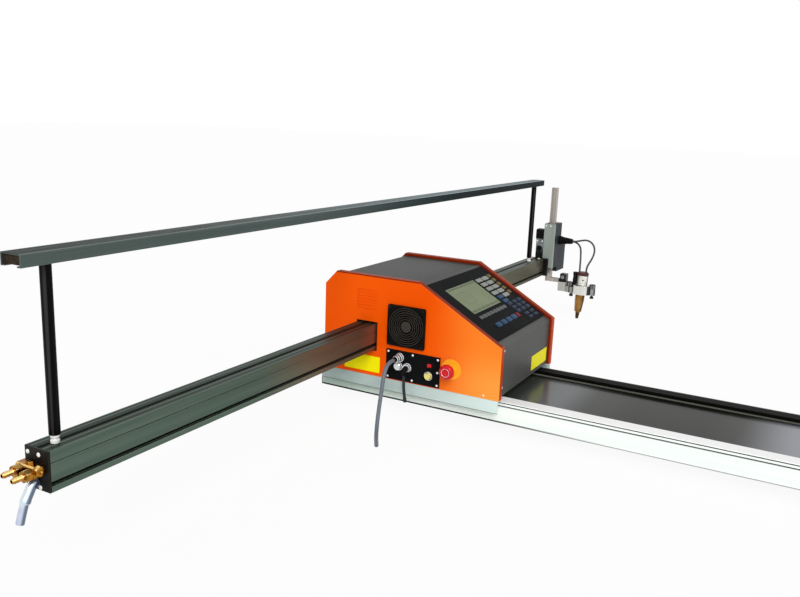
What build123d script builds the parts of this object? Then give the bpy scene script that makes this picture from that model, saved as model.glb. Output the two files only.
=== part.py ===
"""Portable CNC cutting machine: a floor rail, a host that rolls along it, a cross beam that
slides through the host, and a motor lifter with a cutting torch at the beam's far end.

Frame: millimetres, +X along the rail, +Y along the beam away from the operator, +Z up.
The origin is on the floor, under the middle of the rail. Most places are given in host
measures: from the lower left corner of the host's front plate.
"""
import os
from math import acos, atan2, cos, hypot, pi, radians, sin, tan

from build123d import *

os.makedirs("parts", exist_ok=True)

# Rail and its bearers
rail_length = 2500.0
rail_width = 334.0
rail_height = 55.0
rail_wall = 4.0
strip_width = 38.0
strip_height = 12.0
rail_chambers = 4
groove_width = 2.0
groove_depth = 1.5
groove_drops = (3.5, 11.0)
end_cap = 3.0
bearer_height = 30.0
bearer_width = 40.0
bearer_reach = 164.0
bearer_count = 5
bearer_pitch = 560.0

# Host casing
host_length = 500.0
host_depth = 390.0
host_height = 262.0
host_setback = 26.0
ride_gap = 8.0
chamfer_run = 34.0
chamfer_rise = 36.0
top_end = 270.0
nose_height = 131.0
sheet = 2.0
rim_depth = 18.0
rim_lip = 8.0
skirt_drop = 32.0
skirt_sheet = 3.0
skirt_span = (-7.0, 498.0)
skirt_flange = 20.0
base_thickness = 8.0
louvre_count = 7
louvre_pitch = 8.0
louvre_size = (58.0, 3.0)
louvre_centre = (126.0, 198.0)

# Control panel on the slope: distances run down the slope and from front to rear
panel_span = (14.0, 240.0)
panel_reach = (22.0, 368.0)
panel_thickness = 4.0
panel_land = 12.0
lens_span = (49.0, 146.0)
lens_reach = (72.0, 243.0)
lens_seat = 1.2
lens_proud = 0.3
controller_span = (30.0, 222.0)
controller_reach = (45.0, 345.0)
controller_depth = 42.0
supply_size = (62.0, 150.0, 50.0)
supply_place = (370.0, 185.0)
fin_count = 5
fin_gap = 5.0

# Fan
fan_centre = (244.5, 145.0)
guard_size = 105.0
guard_depth = 8.0
guard_opening = 47.0
guard_rings = (44.0, 31.0, 18.0)
guard_ring_width = 4.0
guard_sides = 16
fan_sides = 24
spoke_width = 4.0
fan_frame_size = 92.0
fan_bore = 43.0
fan_depth = 25.0
spider_depth = 3.0
hub_radius = 17.0
hub_length = 19.0
hub_sides = 14
blade_root = 1.5
blade_count = 7
blade_size = (25.0, 17.0, 1.6)
blade_pitch = 35.0
fan_shaft = 3.0

# Socket panel, switch, button and emergency stop, at x and z on the front plate
socket_panel_x = (190.0, 342.0)
socket_panel_z = (3.0, 81.0)
socket_panel_thickness = 3.0
socket_land = 8.0
control_socket = (230.0, 64.0)
spare_socket = (227.0, 41.0)
signal_socket = (252.0, 41.0)
socket_ring = 10.5
socket_ring_length = 9.0
ring_sides = 16
plug_sides = 12
turned_sides = 24
wheel_sides = 32
plug_radius = 9.0
plug_straight = 12.0
plug_taper = 3.0
control_plug_length = 26.0
signal_plug_length = 16.0
spare_rim_length = 8.0
nipple_radius = 6.0
nipple_drop = 16.0
rocker_place = (314.0, 57.0)
rocker_opening = (16.0, 11.0)
rocker_half = 5.2
rocker_height = 8.4
rocker_pivot = 2.0
rocker_pin = 1.5
rocker_ear = (6.0, 3.5)
button_place = (312.0, 30.0)
button_radius = 8.0
button_reach = (-2.0, 12.0)
button_edge = 1.0
bezel_width = 3.0
bezel_height = 1.5
estop_place = (372.0, 57.0)
estop_disc = 26.0
estop_collar = 15.0
estop_neck = 10.5
estop_neck_length = 20.0
estop_disc_thickness = 2.0
estop_collar_length = 8.0
estop_stem = 8.0
estop_stem_reach = (-8.0, 19.0)
estop_head_radius = 19.0
estop_head_reach = (19.0, 34.0)
estop_head_edge = 4.0
estop_cap = (11.0, 1.5)

# Running gear
wheel_radius = 26.0
wheel_flange = 30.0
flange_width = 4.0
flange_gap = 0.4
axle_radius = 7.0
running_gap = 0.3
bearing_gap = 0.05
wheel_places = (52.0, 448.0)
wheel_room = 3.0
far_tread_inset = 5.0
axle_block_places = (96.0, 290.0)
axle_block_size = (44.0, 18.0)
axle_cover = 9.0

# Gears: stub teeth with straight flanks
pressure_angle = radians(20.0)
pinion_teeth = 11
drive_module = 5.0
lift_module = 2.5
rack_body = 4.0
addendum = 0.75
dedendum = 0.9
tooth_backlash = 0.4
rail_rack_teeth = 134
rail_rack_height = 7.0
rail_rack_shift = 62
beam_rack_teeth = 100
beam_rack_shift = -5
beam_rack_width = 16.0
bar_rack_teeth = 34
bar_rack_shift = 6
bar_rack_width = 12.0
drive_shaft = 7.0
x_pinion_place = 300.0
gearbox_size = 64.0
gearbox_height = 42.0
gearbox_bore = 27.0
shaft_reach = 26.0
motor_radius = 27.0
motor_length = 78.0

# Cross beam
beam_centre = 128.5
beam_width = 54.0
beam_bottom = 70.5
beam_height = 68.0
beam_near = -975.5
beam_far = 1290.0
beam_wall = 3.0
slot_mouth = 8.0
slot_room = 14.0
slot_lip = 2.5
slot_depth = 9.0
side_slot_drop = 54.0
line_drop = 20.0
end_plate = 3.5
far_plate_right = 173.0
rack_centre = 111.0
window_gap = 4.0
rack_notch = 14.0

# Beam rollers in their frames
roller_radius = 20.0
low_roller_width = 37.0
high_roller_width = 61.4
roller_places = (62.0, 328.0)
roller_pin = 5.0
collar_radius = 7.0
cheek = 5.0
cheek_gap = 4.0
cheek_length = 40.0

# Hanger channel and its posts
channel_width = 44.0
channel_height = 20.0
channel_bottom = 424.0
channel_near = -1002.0
channel_far = 1246.0
channel_sheet = 2.0
channel_lip = 8.0
post_radius = 9.0
post_centre = 133.0
post_places = (-948.0, 1186.0)
post_foot_radius = 9.6
post_foot_height = 15.0

# Gas inlets at the near end of the beam
manifold_x = (101.0, 141.0)
manifold_z = (96.0, 116.0)
manifold_depth = 17.0
manifold_round = 4.0
inlet_places = ((110.0, 106.0), (132.0, 102.5))
end_plug_height = 108.0
end_plug_radius = 8.5
end_plug_length = 7.0
boss_radius = 6.5
boss_height = 5.0
boss_place = (125.0, 8.0)
nut_sides = 6
nut_length = 11.0
nut_radius = 9.5
tail_length = 19.5
tail_radius = 4.0
barb_radius = 5.2
barb_length = 8.4
tail_sides = 8
elbow_place = (126.0, 82.0)
elbow_radius = 8.0
elbow_length = 16.0
elbow_tilt = 58.0
pipe_radius = 6.7
pipe_bore = 5.2
pipe_bore_depth = 12.0

# Lifter
lifter_left = 147.0
lifter_width = 43.0
lifter_front = 1300.0
lifter_upper_depth = 85.0
lifter_depth = 148.0
lifter_bottom = 102.0
lifter_top = 274.0
lifter_heel = (1356.0, 82.0)
lifter_step = (186.0, 206.0)
lifter_wall = 4.0
front_plate_thickness = 8.0
front_plate_chamfer = 1.5
bush_height = 14.0
bracket_left = 118.0
bracket_depth = 43.0
bracket_foot = 76.0
bracket_shelf = 150.0
bracket_top = 212.0
bracket_web = 8.0
lift_motor_left = 100.0
lift_motor_side = 40.0
lift_motor_round = 5.0
lift_motor_height = 224.0
lift_shaft = 4.0
lift_shaft_reach = 20.0
gland_place = (1368.0, 206.0)
gland_length = 48.0
gland_nut_length = 10.0
gland_radius = 15.0
gland_root_radius = 13.0
gland_taper = 3.4

# Slide bar, arm and torch
bar_centre = 168.5
bar_width = 21.0
bar_front = 1322.0
bar_depth = 22.0
bar_foot = 46.0
bar_top = 413.0
foot_thickness = 14.0
foot_end = 214.0
arm_end = 244.0
arm_reach = (1316.0, 1346.0)
arm_height = (14.0, 82.0)
arm_waist = (52.0, 60.0)
arm_notch = 6.0
arm_bolt_place = (232.0, 70.0)
arm_bolt_radius = 4.0
torch_x = 308.0
torch_y = 1330.0
torch_tip = -89.0
torch_lean = radians(3.5)
torch_radius = 19.0
clamp_ring_radius = 37.0
clamp_ring_height = (12.0, 46.0)
lobe_radius = 12.0
lobe_reach = 41.0
lobe_setback = 4.0
lobe_height = 24.0
thumb_radius = 7.0
thumb_height = 10.0
thumb_neck = 4.0
arm_bolt_head = (7.0, 6.0)
cap_height = (78.0, 97.0)
cap_radius = 20.5
cap_edge = (2.5, 3.0)
nozzle_radius = 17.0
nozzle_shoulder = -18.0
nozzle_taper = 4.5
tip_length = 29.0
tip_radius = 8.0
tip_taper = 3.0
tip_shoulder = 1.0
ring_neck = (-9.0, 13.0)

# Cords and hoses
torch_hose_radius = 3.5
cable_radius = 5.0
lead_radius = 3.8
cable_plug_length = 16.0
lead_plug_length = 10.0
lead_plug_radius = 4.6
tube_sides = 6

# Derived datums
host_left = -rail_length / 2 + host_setback
host_front = -host_depth / 2
rail_top = bearer_height + rail_height
rail_floor = rail_top - strip_height
host_floor = rail_top + ride_gap
slope_run = host_length - top_end
slope_fall = host_height - nose_height
slope_angle = atan2(slope_fall, slope_run)
strip_outer = host_depth / 2 - rail_width / 2
strip_inner = strip_outer + strip_width
beam_left = beam_centre - beam_width / 2
beam_right = beam_centre + beam_width / 2
beam_top = beam_bottom + beam_height
lifter_right = lifter_left + lifter_width
body_front = lifter_front + front_plate_thickness
bar_left = bar_centre - bar_width / 2
bar_right = bar_centre + bar_width / 2
bar_back = bar_front + bar_depth

TURN = {"X": (0, 90, 0), "Y": (90, 0, 0), "Z": (0, 0, 0)}


def at(x, y, z):
    """World point of a place given in host measures."""
    return (host_left + x, host_front + y, host_floor + z)


def keep(builder, name):
    """Label a finished piece and write it under its own name."""
    builder.part.label = name
    export_step(builder.part, f"parts/{name}.step")


def block(low, high, mode=Mode.ADD):
    """Box between two corners given in host measures."""
    a = at(*low)
    b = at(*high)
    with Locations(tuple((p + q) / 2 for p, q in zip(a, b))):
        Box(*(q - p for p, q in zip(a, b)), mode=mode)


def rod(axis, centre, radius, length, mode=Mode.ADD):
    """Cylinder about a world axis, centred on a place given in host measures."""
    with Locations(Location(at(*centre), TURN[axis])):
        Cylinder(radius, length, mode=mode)


def prism(axis, centre, radius, length, sides, mode=Mode.ADD):
    """Many-sided bar about a world axis, centred on a place given in host measures."""
    plane = Plane(Location(at(*centre), TURN[axis])).offset(-length / 2)
    with BuildSketch(plane) as section:
        RegularPolygon(radius, sides)
    extrude(section.sketch, amount=length, mode=mode)


def taper(face, inward, along):
    """Slope the edges round an end face: drawn inward on it, and running along the sides."""
    chamfer(face.edges(), inward, along, reference=face)


def oblong(span, reach, mode=Mode.ADD):
    """Rectangle between two pairs of limits, in a sketch."""
    with Locations((sum(span) / 2, sum(reach) / 2)):
        Rectangle(span[1] - span[0], reach[1] - reach[0], mode=mode)


def side_plane(y):
    """Plane of the front plate, moved to y: sketch x is along the rail and sketch y is up."""
    return Plane(origin=at(0, y, 0), x_dir=(1, 0, 0), z_dir=(0, -1, 0))


def cross_plane(x):
    """Plane across the rail at x: sketch x is along the beam and sketch y is up."""
    return Plane(origin=at(x, 0, 0), x_dir=(0, 1, 0), z_dir=(1, 0, 0))


def level_plane(z):
    """Level plane at z, with sketch x and y along the rail and the beam."""
    return Plane(origin=at(0, 0, z))


def slope_plane(out):
    """Plane of the control slope: sketch x runs down it and sketch y runs to the rear."""
    normal = Vector(sin(slope_angle), 0, cos(slope_angle))
    foot = Vector(*at(top_end, 0, host_height)) + normal * out
    return Plane(origin=foot, x_dir=(cos(slope_angle), 0, -sin(slope_angle)), z_dir=normal)


def host_outline(inset, foot):
    """Corners of the casing's side outline, drawn in by inset, with its foot at a height."""
    chamfer = chamfer_rise / chamfer_run
    slope = slope_fall / slope_run
    return [
        (inset, foot),
        (inset, host_height - chamfer_rise - inset * (hypot(1, chamfer) - chamfer)),
        (chamfer_run + inset * (hypot(1, chamfer) - 1) / chamfer, host_height - inset),
        (top_end - inset * (hypot(1, slope) - 1) / slope, host_height - inset),
        (host_length - inset, nose_height - inset * (hypot(1, slope) - slope)),
        (host_length - inset, foot),
    ]


def rack_pitch_line(module):
    """Distance of a rack's pitch line from its back."""
    return rack_body + dedendum * module


def rack_outline(module, count):
    """Closed outline of a rack: back on y = 0, teeth towards -y, and a gap on x = 0."""
    pitch = pi * module
    pitch_line = -rack_pitch_line(module)
    tip = pitch_line - addendum * module
    half_pitch = pitch / 4 - tooth_backlash / 2
    half_root = half_pitch + dedendum * module * tan(pressure_angle)
    half_tip = half_pitch - addendum * module * tan(pressure_angle)
    end = count * pitch / 2
    points = [(-end, 0), (-end, -rack_body)]
    for k in range(count):
        middle = (k + 0.5) * pitch - end
        points += [(middle - half_root, -rack_body), (middle - half_tip, tip)]
        points += [(middle + half_tip, tip), (middle + half_root, -rack_body)]
    return points + [(end, -rack_body), (end, 0)]


def pinion_outline(module):
    """Closed outline of a pinion: chords of the involute, with a tooth centred on +y."""
    pitch_radius = module * pinion_teeth / 2
    base = pitch_radius * cos(pressure_angle)
    radii = [pitch_radius - dedendum * module, pitch_radius, pitch_radius + addendum * module]
    half_pitch = pi / (2 * pinion_teeth) - tooth_backlash / 2 / pitch_radius
    flank = []
    for radius in radii:
        roll = acos(min(1.0, base / radius))
        spread = tan(pressure_angle) - pressure_angle - tan(roll) + roll
        flank.append((radius, half_pitch + spread))
    points = []
    for k in range(pinion_teeth):
        middle = pi / 2 - 2 * pi * k / pinion_teeth
        points += [(r * cos(middle + a), r * sin(middle + a)) for r, a in flank]
        points += [(r * cos(middle - a), r * sin(middle - a)) for r, a in reversed(flank)]
    return points


def bend_radii(points):
    """Bend radii of a cord's corners, as large as the two runs at each corner allow."""
    radii = []
    for before, corner, after in zip(points, points[1:], points[2:]):
        turn = (corner - before).get_angle(after - corner)
        shorter = min((corner - before).length, (after - corner).length)
        radii.append(0.45 * shorter / tan(radians(turn) / 2))
    return radii


# Rail: hollow extrusion with two raised running strips and grooves along its sides
recess_half = rail_width / 2 - strip_width
chamber_low = bearer_height + rail_wall
chamber_high = rail_floor - rail_wall
chamber_pitch = (rail_width - 2 * strip_width) / rail_chambers
with BuildPart() as rail_profile:
    with BuildSketch(Plane.YZ.offset(-rail_length / 2 + end_cap)):
        oblong((-rail_width / 2, rail_width / 2), (bearer_height, rail_top))
        oblong((-recess_half, recess_half), (rail_floor, rail_top), Mode.SUBTRACT)
        with Locations((0, (chamber_low + chamber_high) / 2)):
            with GridLocations(chamber_pitch, 1, rail_chambers, 1):
                Rectangle(chamber_pitch - rail_wall, chamber_high - chamber_low, mode=Mode.SUBTRACT)
        strip_high = rail_top - rail_wall
        with Locations((0, (chamber_low + strip_high) / 2)):
            with GridLocations(rail_width - strip_width, 1, 2, 1):
                Rectangle(strip_width - 2 * rail_wall, strip_high - chamber_low, mode=Mode.SUBTRACT)
        for drop in groove_drops:
            with Locations((0, rail_top - drop)):
                with GridLocations(rail_width, 1, 2, 1):
                    Rectangle(2 * groove_depth, groove_width, mode=Mode.SUBTRACT)
    extrude(amount=rail_length - 2 * end_cap)
keep(rail_profile, "rail_profile")

# Plates that close the rail's two ends
with BuildPart() as rail_end_caps:
    for start in (-rail_length / 2, rail_length / 2 - end_cap):
        with BuildSketch(Plane.YZ.offset(start)):
            oblong((-rail_width / 2, rail_width / 2), (bearer_height, rail_top))
            oblong((-recess_half, recess_half), (rail_floor, rail_top), Mode.SUBTRACT)
        extrude(amount=end_cap)
keep(rail_end_caps, "rail_end_caps")

# Bearers that lift the rail off the floor
with BuildPart() as rail_bearers:
    with Locations((0, 0, bearer_height / 2)):
        with GridLocations(bearer_pitch, 1, bearer_count, 1):
            Box(bearer_width, bearer_reach, bearer_height)
keep(rail_bearers, "rail_bearers")

# Drive rack along the inner wall of the near strip, phased to the pinion
drive_pitch = pi * drive_module
rail_rack_centre = x_pinion_place + rail_rack_shift * drive_pitch
recess_floor = rail_floor - host_floor
with BuildPart() as rail_rack:
    with BuildSketch(Plane(origin=at(rail_rack_centre, strip_inner, recess_floor), x_dir=(-1, 0, 0))):
        Polygon(*rack_outline(drive_module, rail_rack_teeth), align=None)
    extrude(amount=rail_rack_height)
keep(rail_rack, "rail_rack")

# Host base plate, with windows for the wheels and for the two drive pinions
drive_radius = drive_module * pinion_teeth / 2
x_pinion_y = strip_inner + rack_pitch_line(drive_module) + drive_radius
y_pinion_y = host_depth / 2
y_pinion_z = beam_bottom - rack_pitch_line(drive_module) - drive_radius
base_inset = rim_lip + sheet
wheel_window = 2 * (wheel_flange + wheel_room)
pinion_window = 2 * drive_radius + 14.0
near_window = (rim_depth + wheel_room, strip_inner + 3 * wheel_room)
far_window = (host_depth - strip_inner, host_depth - strip_outer - wheel_room)
with BuildPart() as carriage_base:
    with BuildSketch(level_plane(0)):
        oblong((base_inset, host_length - base_inset), (rim_depth, host_depth - rim_depth))
        for x in wheel_places:
            window = (x - wheel_window / 2, x + wheel_window / 2)
            oblong(window, near_window, Mode.SUBTRACT)
            oblong(window, far_window, Mode.SUBTRACT)
        with Locations((x_pinion_place, x_pinion_y)):
            RegularPolygon(1.5 * drive_shaft, ring_sides, mode=Mode.SUBTRACT)
        with Locations((rack_centre, y_pinion_y)):
            Rectangle(beam_rack_width + 8.0, pinion_window, mode=Mode.SUBTRACT)
    extrude(amount=base_thickness)
keep(carriage_base, "carriage_base")

# Skirts over the rail's two sides: a face that hangs down and a flange under the casing
with BuildPart() as side_skirts:
    for face, inward in ((0.0, 1), (host_depth, -1)):
        with BuildSketch(cross_plane(skirt_span[0])):
            Polygon(
                (face, -skirt_drop),
                (face + inward * skirt_sheet, -skirt_drop),
                (face + inward * skirt_sheet, -skirt_sheet),
                (face + inward * skirt_flange, -skirt_sheet),
                (face + inward * skirt_flange, 0),
                (face, 0),
                align=None,
            )
        extrude(amount=skirt_span[1] - skirt_span[0])
keep(side_skirts, "side_skirts")

# Side plates: folded pans with a double-folded rim, and a window for the beam
socket_window_x = (socket_panel_x[0] + socket_land, socket_panel_x[1] - socket_land)
socket_window_z = (socket_panel_z[0] + socket_land, socket_panel_z[1] - socket_land)
for name, face, inward in (("front_side_plate", 0.0, 1), ("rear_side_plate", host_depth, -1)):
    with BuildPart() as side_plate:
        with BuildSketch(side_plane(face)):
            Polygon(*host_outline(0, 0), align=None)
            oblong((beam_left - window_gap, beam_right + window_gap),
                   (beam_bottom - window_gap, beam_top + window_gap), Mode.SUBTRACT)
            oblong((beam_left - window_gap, rack_centre + beam_rack_width / 2 + window_gap),
                   (beam_bottom - rack_notch, beam_bottom), Mode.SUBTRACT)
            with Locations(louvre_centre):
                with GridLocations(1, louvre_pitch, 1, louvre_count):
                    Rectangle(*louvre_size, mode=Mode.SUBTRACT)
            if inward == 1:
                with Locations(fan_centre):
                    RegularPolygon(fan_bore + 1.0, fan_sides, mode=Mode.SUBTRACT)
                oblong(socket_window_x, socket_window_z, Mode.SUBTRACT)
                with Locations(estop_place):
                    RegularPolygon(estop_neck + 0.5, ring_sides, mode=Mode.SUBTRACT)
        extrude(amount=-inward * sheet)
        with BuildSketch(side_plane(face + inward * sheet)):
            Polygon(*host_outline(0, 0), align=None)
            Polygon(*host_outline(sheet, sheet), align=None, mode=Mode.SUBTRACT)
        extrude(amount=-inward * (rim_depth - 2 * sheet))
        with BuildSketch(side_plane(face + inward * (rim_depth - sheet))):
            Polygon(*host_outline(0, 0), align=None)
            Polygon(*host_outline(rim_lip, sheet), align=None, mode=Mode.SUBTRACT)
        extrude(amount=-inward * sheet)
    keep(side_plate, name)

# Bent cover between the side plates, with the control panel's window in its slope
with BuildPart() as cover_shell:
    with BuildSketch(side_plane(sheet)):
        Polygon(*host_outline(rim_lip, sheet), align=None)
        Polygon(*host_outline(rim_lip + sheet, 0), align=None, mode=Mode.SUBTRACT)
    extrude(amount=-(host_depth - 2 * sheet))
    with BuildSketch(slope_plane(-rim_lip - 2 * sheet)):
        oblong((panel_span[0] + panel_land, panel_span[1] - panel_land),
               (panel_reach[0] + panel_land, panel_reach[1] - panel_land))
    extrude(amount=4 * sheet, mode=Mode.SUBTRACT)
keep(cover_shell, "cover_shell")

# Control panel on the slope with its display lens, and the controller behind it
panel_face = -rim_lip + panel_thickness
with BuildPart() as control_panel:
    with BuildSketch(slope_plane(-rim_lip)):
        oblong(panel_span, panel_reach)
    extrude(amount=panel_thickness)
    with BuildSketch(slope_plane(panel_face - lens_seat)):
        oblong(lens_span, lens_reach)
    extrude(amount=2 * lens_seat, mode=Mode.SUBTRACT)
keep(control_panel, "control_panel")

with BuildPart() as display_lens:
    with BuildSketch(slope_plane(panel_face - lens_seat)):
        oblong(lens_span, lens_reach)
    extrude(amount=lens_seat + lens_proud)
keep(display_lens, "display_lens")

with BuildPart() as controller_unit:
    with BuildSketch(slope_plane(-rim_lip)):
        oblong(controller_span, controller_reach)
    extrude(amount=-controller_depth)
keep(controller_unit, "controller_unit")

# Power supply on the base plate, with cooling fins
with BuildPart() as power_supply:
    with BuildSketch(level_plane(base_thickness)):
        with Locations(supply_place):
            Rectangle(supply_size[0], supply_size[1])
    extrude(amount=supply_size[2])
    with BuildSketch(level_plane(base_thickness + supply_size[2])):
        with Locations(supply_place):
            with GridLocations(2 * fin_gap, 1, fin_count, 1):
                Rectangle(fin_gap, supply_size[1])
    extrude(amount=-2 * fin_gap, mode=Mode.SUBTRACT)
keep(power_supply, "power_supply")

# Fan: square grille on the front plate, frame and spider behind it, and the rotor
fan_back = sheet + fan_depth
with BuildPart() as fan_guard:
    with BuildSketch(side_plane(0)):
        with Locations(fan_centre):
            Rectangle(guard_size, guard_size)
            RegularPolygon(guard_opening, guard_sides, mode=Mode.SUBTRACT)
            for radius in guard_rings:
                RegularPolygon(radius, guard_sides)
                RegularPolygon(radius - guard_ring_width, guard_sides, mode=Mode.SUBTRACT)
            for turn in (45.0, 135.0):
                Rectangle(2 * guard_opening, spoke_width, rotation=turn)
    extrude(amount=guard_depth)
    with BuildSketch(side_plane(sheet)):
        with Locations(fan_centre):
            Rectangle(fan_frame_size, fan_frame_size)
            RegularPolygon(fan_bore, fan_sides, mode=Mode.SUBTRACT)
    extrude(amount=-fan_depth)
    with BuildSketch(side_plane(fan_back)):
        with Locations(fan_centre):
            for turn in (0.0, 90.0):
                Rectangle(fan_frame_size, 2 * spoke_width, rotation=turn)
            Circle(fan_shaft + bearing_gap, mode=Mode.SUBTRACT)
    extrude(amount=-spider_depth)
keep(fan_guard, "fan_guard")

fan_middle = sheet + fan_depth / 2
with BuildPart() as fan_rotor:
    prism("Y", (fan_centre[0], fan_middle, fan_centre[1]), hub_radius, hub_length, hub_sides)
    rod("Y", (fan_centre[0], fan_back, fan_centre[1]), fan_shaft, 2 * spider_depth)
    for k in range(blade_count):
        turn = (0, 360.0 * k / blade_count, 0)
        with Locations(Location(at(fan_centre[0], fan_middle, fan_centre[1]), turn)):
            blade_middle = hub_radius + blade_size[0] / 2 - blade_root
            with Locations(Location((blade_middle, 0, 0), (blade_pitch, 0, 0))):
                Box(*blade_size)
keep(fan_rotor, "fan_rotor")

# Socket panel, with the switch's frame and ears and the button's bezel moulded on
frame_edge = 5.0
with BuildPart() as socket_panel:
    with BuildSketch(side_plane(0)):
        oblong(socket_panel_x, socket_panel_z)
    extrude(amount=socket_panel_thickness)
    with BuildSketch(side_plane(-socket_panel_thickness)):
        with Locations(rocker_place):
            Rectangle(rocker_opening[0] + frame_edge, rocker_opening[1] + frame_edge)
        with Locations(button_place):
            RegularPolygon(button_radius + bezel_width, ring_sides)
    extrude(amount=bezel_height)
    with BuildSketch(side_plane(0)):
        with Locations(rocker_place):
            with GridLocations(1, rocker_opening[1] + rocker_ear[1], 1, 2):
                Rectangle(*rocker_ear)
    extrude(amount=-2 * rocker_pivot)
    with BuildSketch(side_plane(-2 * socket_panel_thickness)):
        with Locations(rocker_place):
            Rectangle(*rocker_opening)
        with Locations(button_place):
            RegularPolygon(button_radius + running_gap, ring_sides)
    extrude(amount=-2 * socket_panel_thickness, mode=Mode.SUBTRACT)
    pin_length = rocker_opening[1] + 2 * rocker_ear[1]
    rod("Z", (rocker_place[0], rocker_pivot, rocker_place[1]), rocker_pin + bearing_gap,
        2 * pin_length, Mode.SUBTRACT)
keep(socket_panel, "socket_panel")

with BuildPart() as power_rocker:
    with BuildSketch(level_plane(rocker_place[1] - rocker_height / 2)):
        with Locations((rocker_place[0], 0)):
            Polygon((-rocker_half, 3.5), (-rocker_half, -6.5), (0, -4.5), (rocker_half, -4.0),
                    (rocker_half, 3.5), align=None)
    extrude(amount=rocker_height)
    rod("Z", (rocker_place[0], rocker_pivot, rocker_place[1]), rocker_pin, pin_length)
keep(power_rocker, "power_rocker")

with BuildPart() as start_button:
    prism("Y", (button_place[0], -sum(button_reach) / 2, button_place[1]),
          button_radius, button_reach[1] - button_reach[0], ring_sides)
    chamfer(start_button.faces().sort_by(Axis.Y)[0].edges(), button_edge)
keep(start_button, "start_button")

# Sockets with their plugs: a straight one for the control cable, an elbow for the lead
ring_face = -socket_panel_thickness - socket_ring_length
control_exit = ring_face - control_plug_length
elbow_y = ring_face - signal_plug_length / 2
nipple_end = signal_socket[1] - nipple_drop
with BuildPart() as cable_sockets:
    prism("Y", (control_socket[0], ring_face - control_plug_length / 2, control_socket[1]),
          plug_radius, control_plug_length, plug_sides)
    taper(cable_sockets.faces().sort_by(Axis.Y)[0], plug_taper, control_plug_length - plug_straight)
    for x, z in (control_socket, spare_socket, signal_socket):
        prism("Y", (x, ring_face + socket_ring_length / 2, z), socket_ring, socket_ring_length, ring_sides)
    prism("Y", (spare_socket[0], ring_face - spare_rim_length / 2, spare_socket[1]),
          plug_radius, spare_rim_length, plug_sides)
    prism("Y", (signal_socket[0], elbow_y, signal_socket[1]), plug_radius, signal_plug_length, plug_sides)
    prism("Z", (signal_socket[0], elbow_y, signal_socket[1] - nipple_drop / 2),
          nipple_radius, nipple_drop, plug_sides)
keep(cable_sockets, "cable_sockets")

# Emergency stop: disc, collar and neck fixed in the plate, and the mushroom head
estop_x, estop_z = estop_place
stem_length = estop_stem_reach[1] - estop_stem_reach[0]
with BuildPart() as estop_base:
    prism("Y", (estop_x, estop_neck_length / 2, estop_z), estop_neck, estop_neck_length, ring_sides)
    prism("Y", (estop_x, -estop_disc_thickness / 2, estop_z), estop_disc, estop_disc_thickness, turned_sides)
    prism("Y", (estop_x, -estop_disc_thickness - estop_collar_length / 2, estop_z),
          estop_collar, estop_collar_length, turned_sides)
    prism("Y", (estop_x, 0, estop_z), estop_stem + bearing_gap, 2 * stem_length, ring_sides, Mode.SUBTRACT)
keep(estop_base, "estop_base")

head_back, head_front = estop_head_reach
head_cap_radius, cap_rise = estop_cap
with BuildPart() as estop_head:
    prism("Y", (estop_x, -sum(estop_head_reach) / 2, estop_z),
          estop_head_radius, head_front - head_back, turned_sides)
    for end in (0, -1):
        chamfer(estop_head.faces().sort_by(Axis.Y)[end].edges(), estop_head_edge)
    prism("Y", (estop_x, -head_front - cap_rise / 2, estop_z), head_cap_radius, cap_rise, turned_sides)
    prism("Y", (estop_x, -sum(estop_stem_reach) / 2, estop_z), estop_stem, stem_length, ring_sides)
keep(estop_head, "estop_head")

# Wheel sets: two wheels on one axle, double flanges on the near side
axle_height = wheel_radius + running_gap - ride_gap
near_tread = (strip_outer - flange_gap, strip_inner + flange_gap)
far_tread = (host_depth - strip_inner + far_tread_inset, host_depth - strip_outer - far_tread_inset)
for name, x in zip(("left_wheelset", "right_wheelset"), wheel_places):
    with BuildPart() as wheelset:
        for radius, start, end in (
            (wheel_flange, near_tread[0] - flange_width, near_tread[0]),
            (wheel_radius, near_tread[0], near_tread[1]),
            (wheel_flange, near_tread[1], near_tread[1] + flange_width),
            (axle_radius, near_tread[1] + flange_width, far_tread[0]),
            (wheel_radius, far_tread[0], far_tread[1]),
        ):
            prism("Y", (x, (start + end) / 2, axle_height), radius, end - start, wheel_sides)
    keep(wheelset, name)

# Bearing blocks for the axles, and frames with fixed pins for the beam's rollers
frame_left = beam_left - cheek_gap - cheek
frame_right = beam_right + cheek_gap + cheek
low_roller_z = beam_bottom - roller_radius - running_gap
high_roller_z = beam_top + roller_radius + running_gap
low_roller_x = frame_right - cheek - running_gap - low_roller_width / 2
high_roller_x = frame_left + cheek + running_gap + high_roller_width / 2
frame_top = high_roller_z + collar_radius + cheek
block_top = axle_height + axle_radius + axle_cover
bearing_bore = (axle_radius + bearing_gap) / cos(pi / ring_sides)
roller_bore = (roller_pin + bearing_gap) / cos(pi / plug_sides)
with BuildPart() as bearing_frames:
    for x in wheel_places:
        for y in axle_block_places:
            with BuildSketch(level_plane(base_thickness)):
                with Locations((x, y)):
                    Rectangle(*axle_block_size)
            extrude(amount=block_top - base_thickness)
        prism("Y", (x, host_depth / 2, axle_height), bearing_bore, host_depth, ring_sides, Mode.SUBTRACT)
    collar = (frame_left + cheek, low_roller_x - low_roller_width / 2 - running_gap)
    for y in roller_places:
        for left in (frame_left, frame_right - cheek):
            block((left, y - cheek_length / 2, base_thickness),
                  (left + cheek, y + cheek_length / 2, frame_top))
        for z in (low_roller_z, high_roller_z):
            prism("X", (beam_centre, y, z), roller_pin, frame_right - frame_left, plug_sides)
        prism("X", (sum(collar) / 2, y, low_roller_z), collar_radius, collar[1] - collar[0], plug_sides)
keep(bearing_frames, "bearing_frames")

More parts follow.
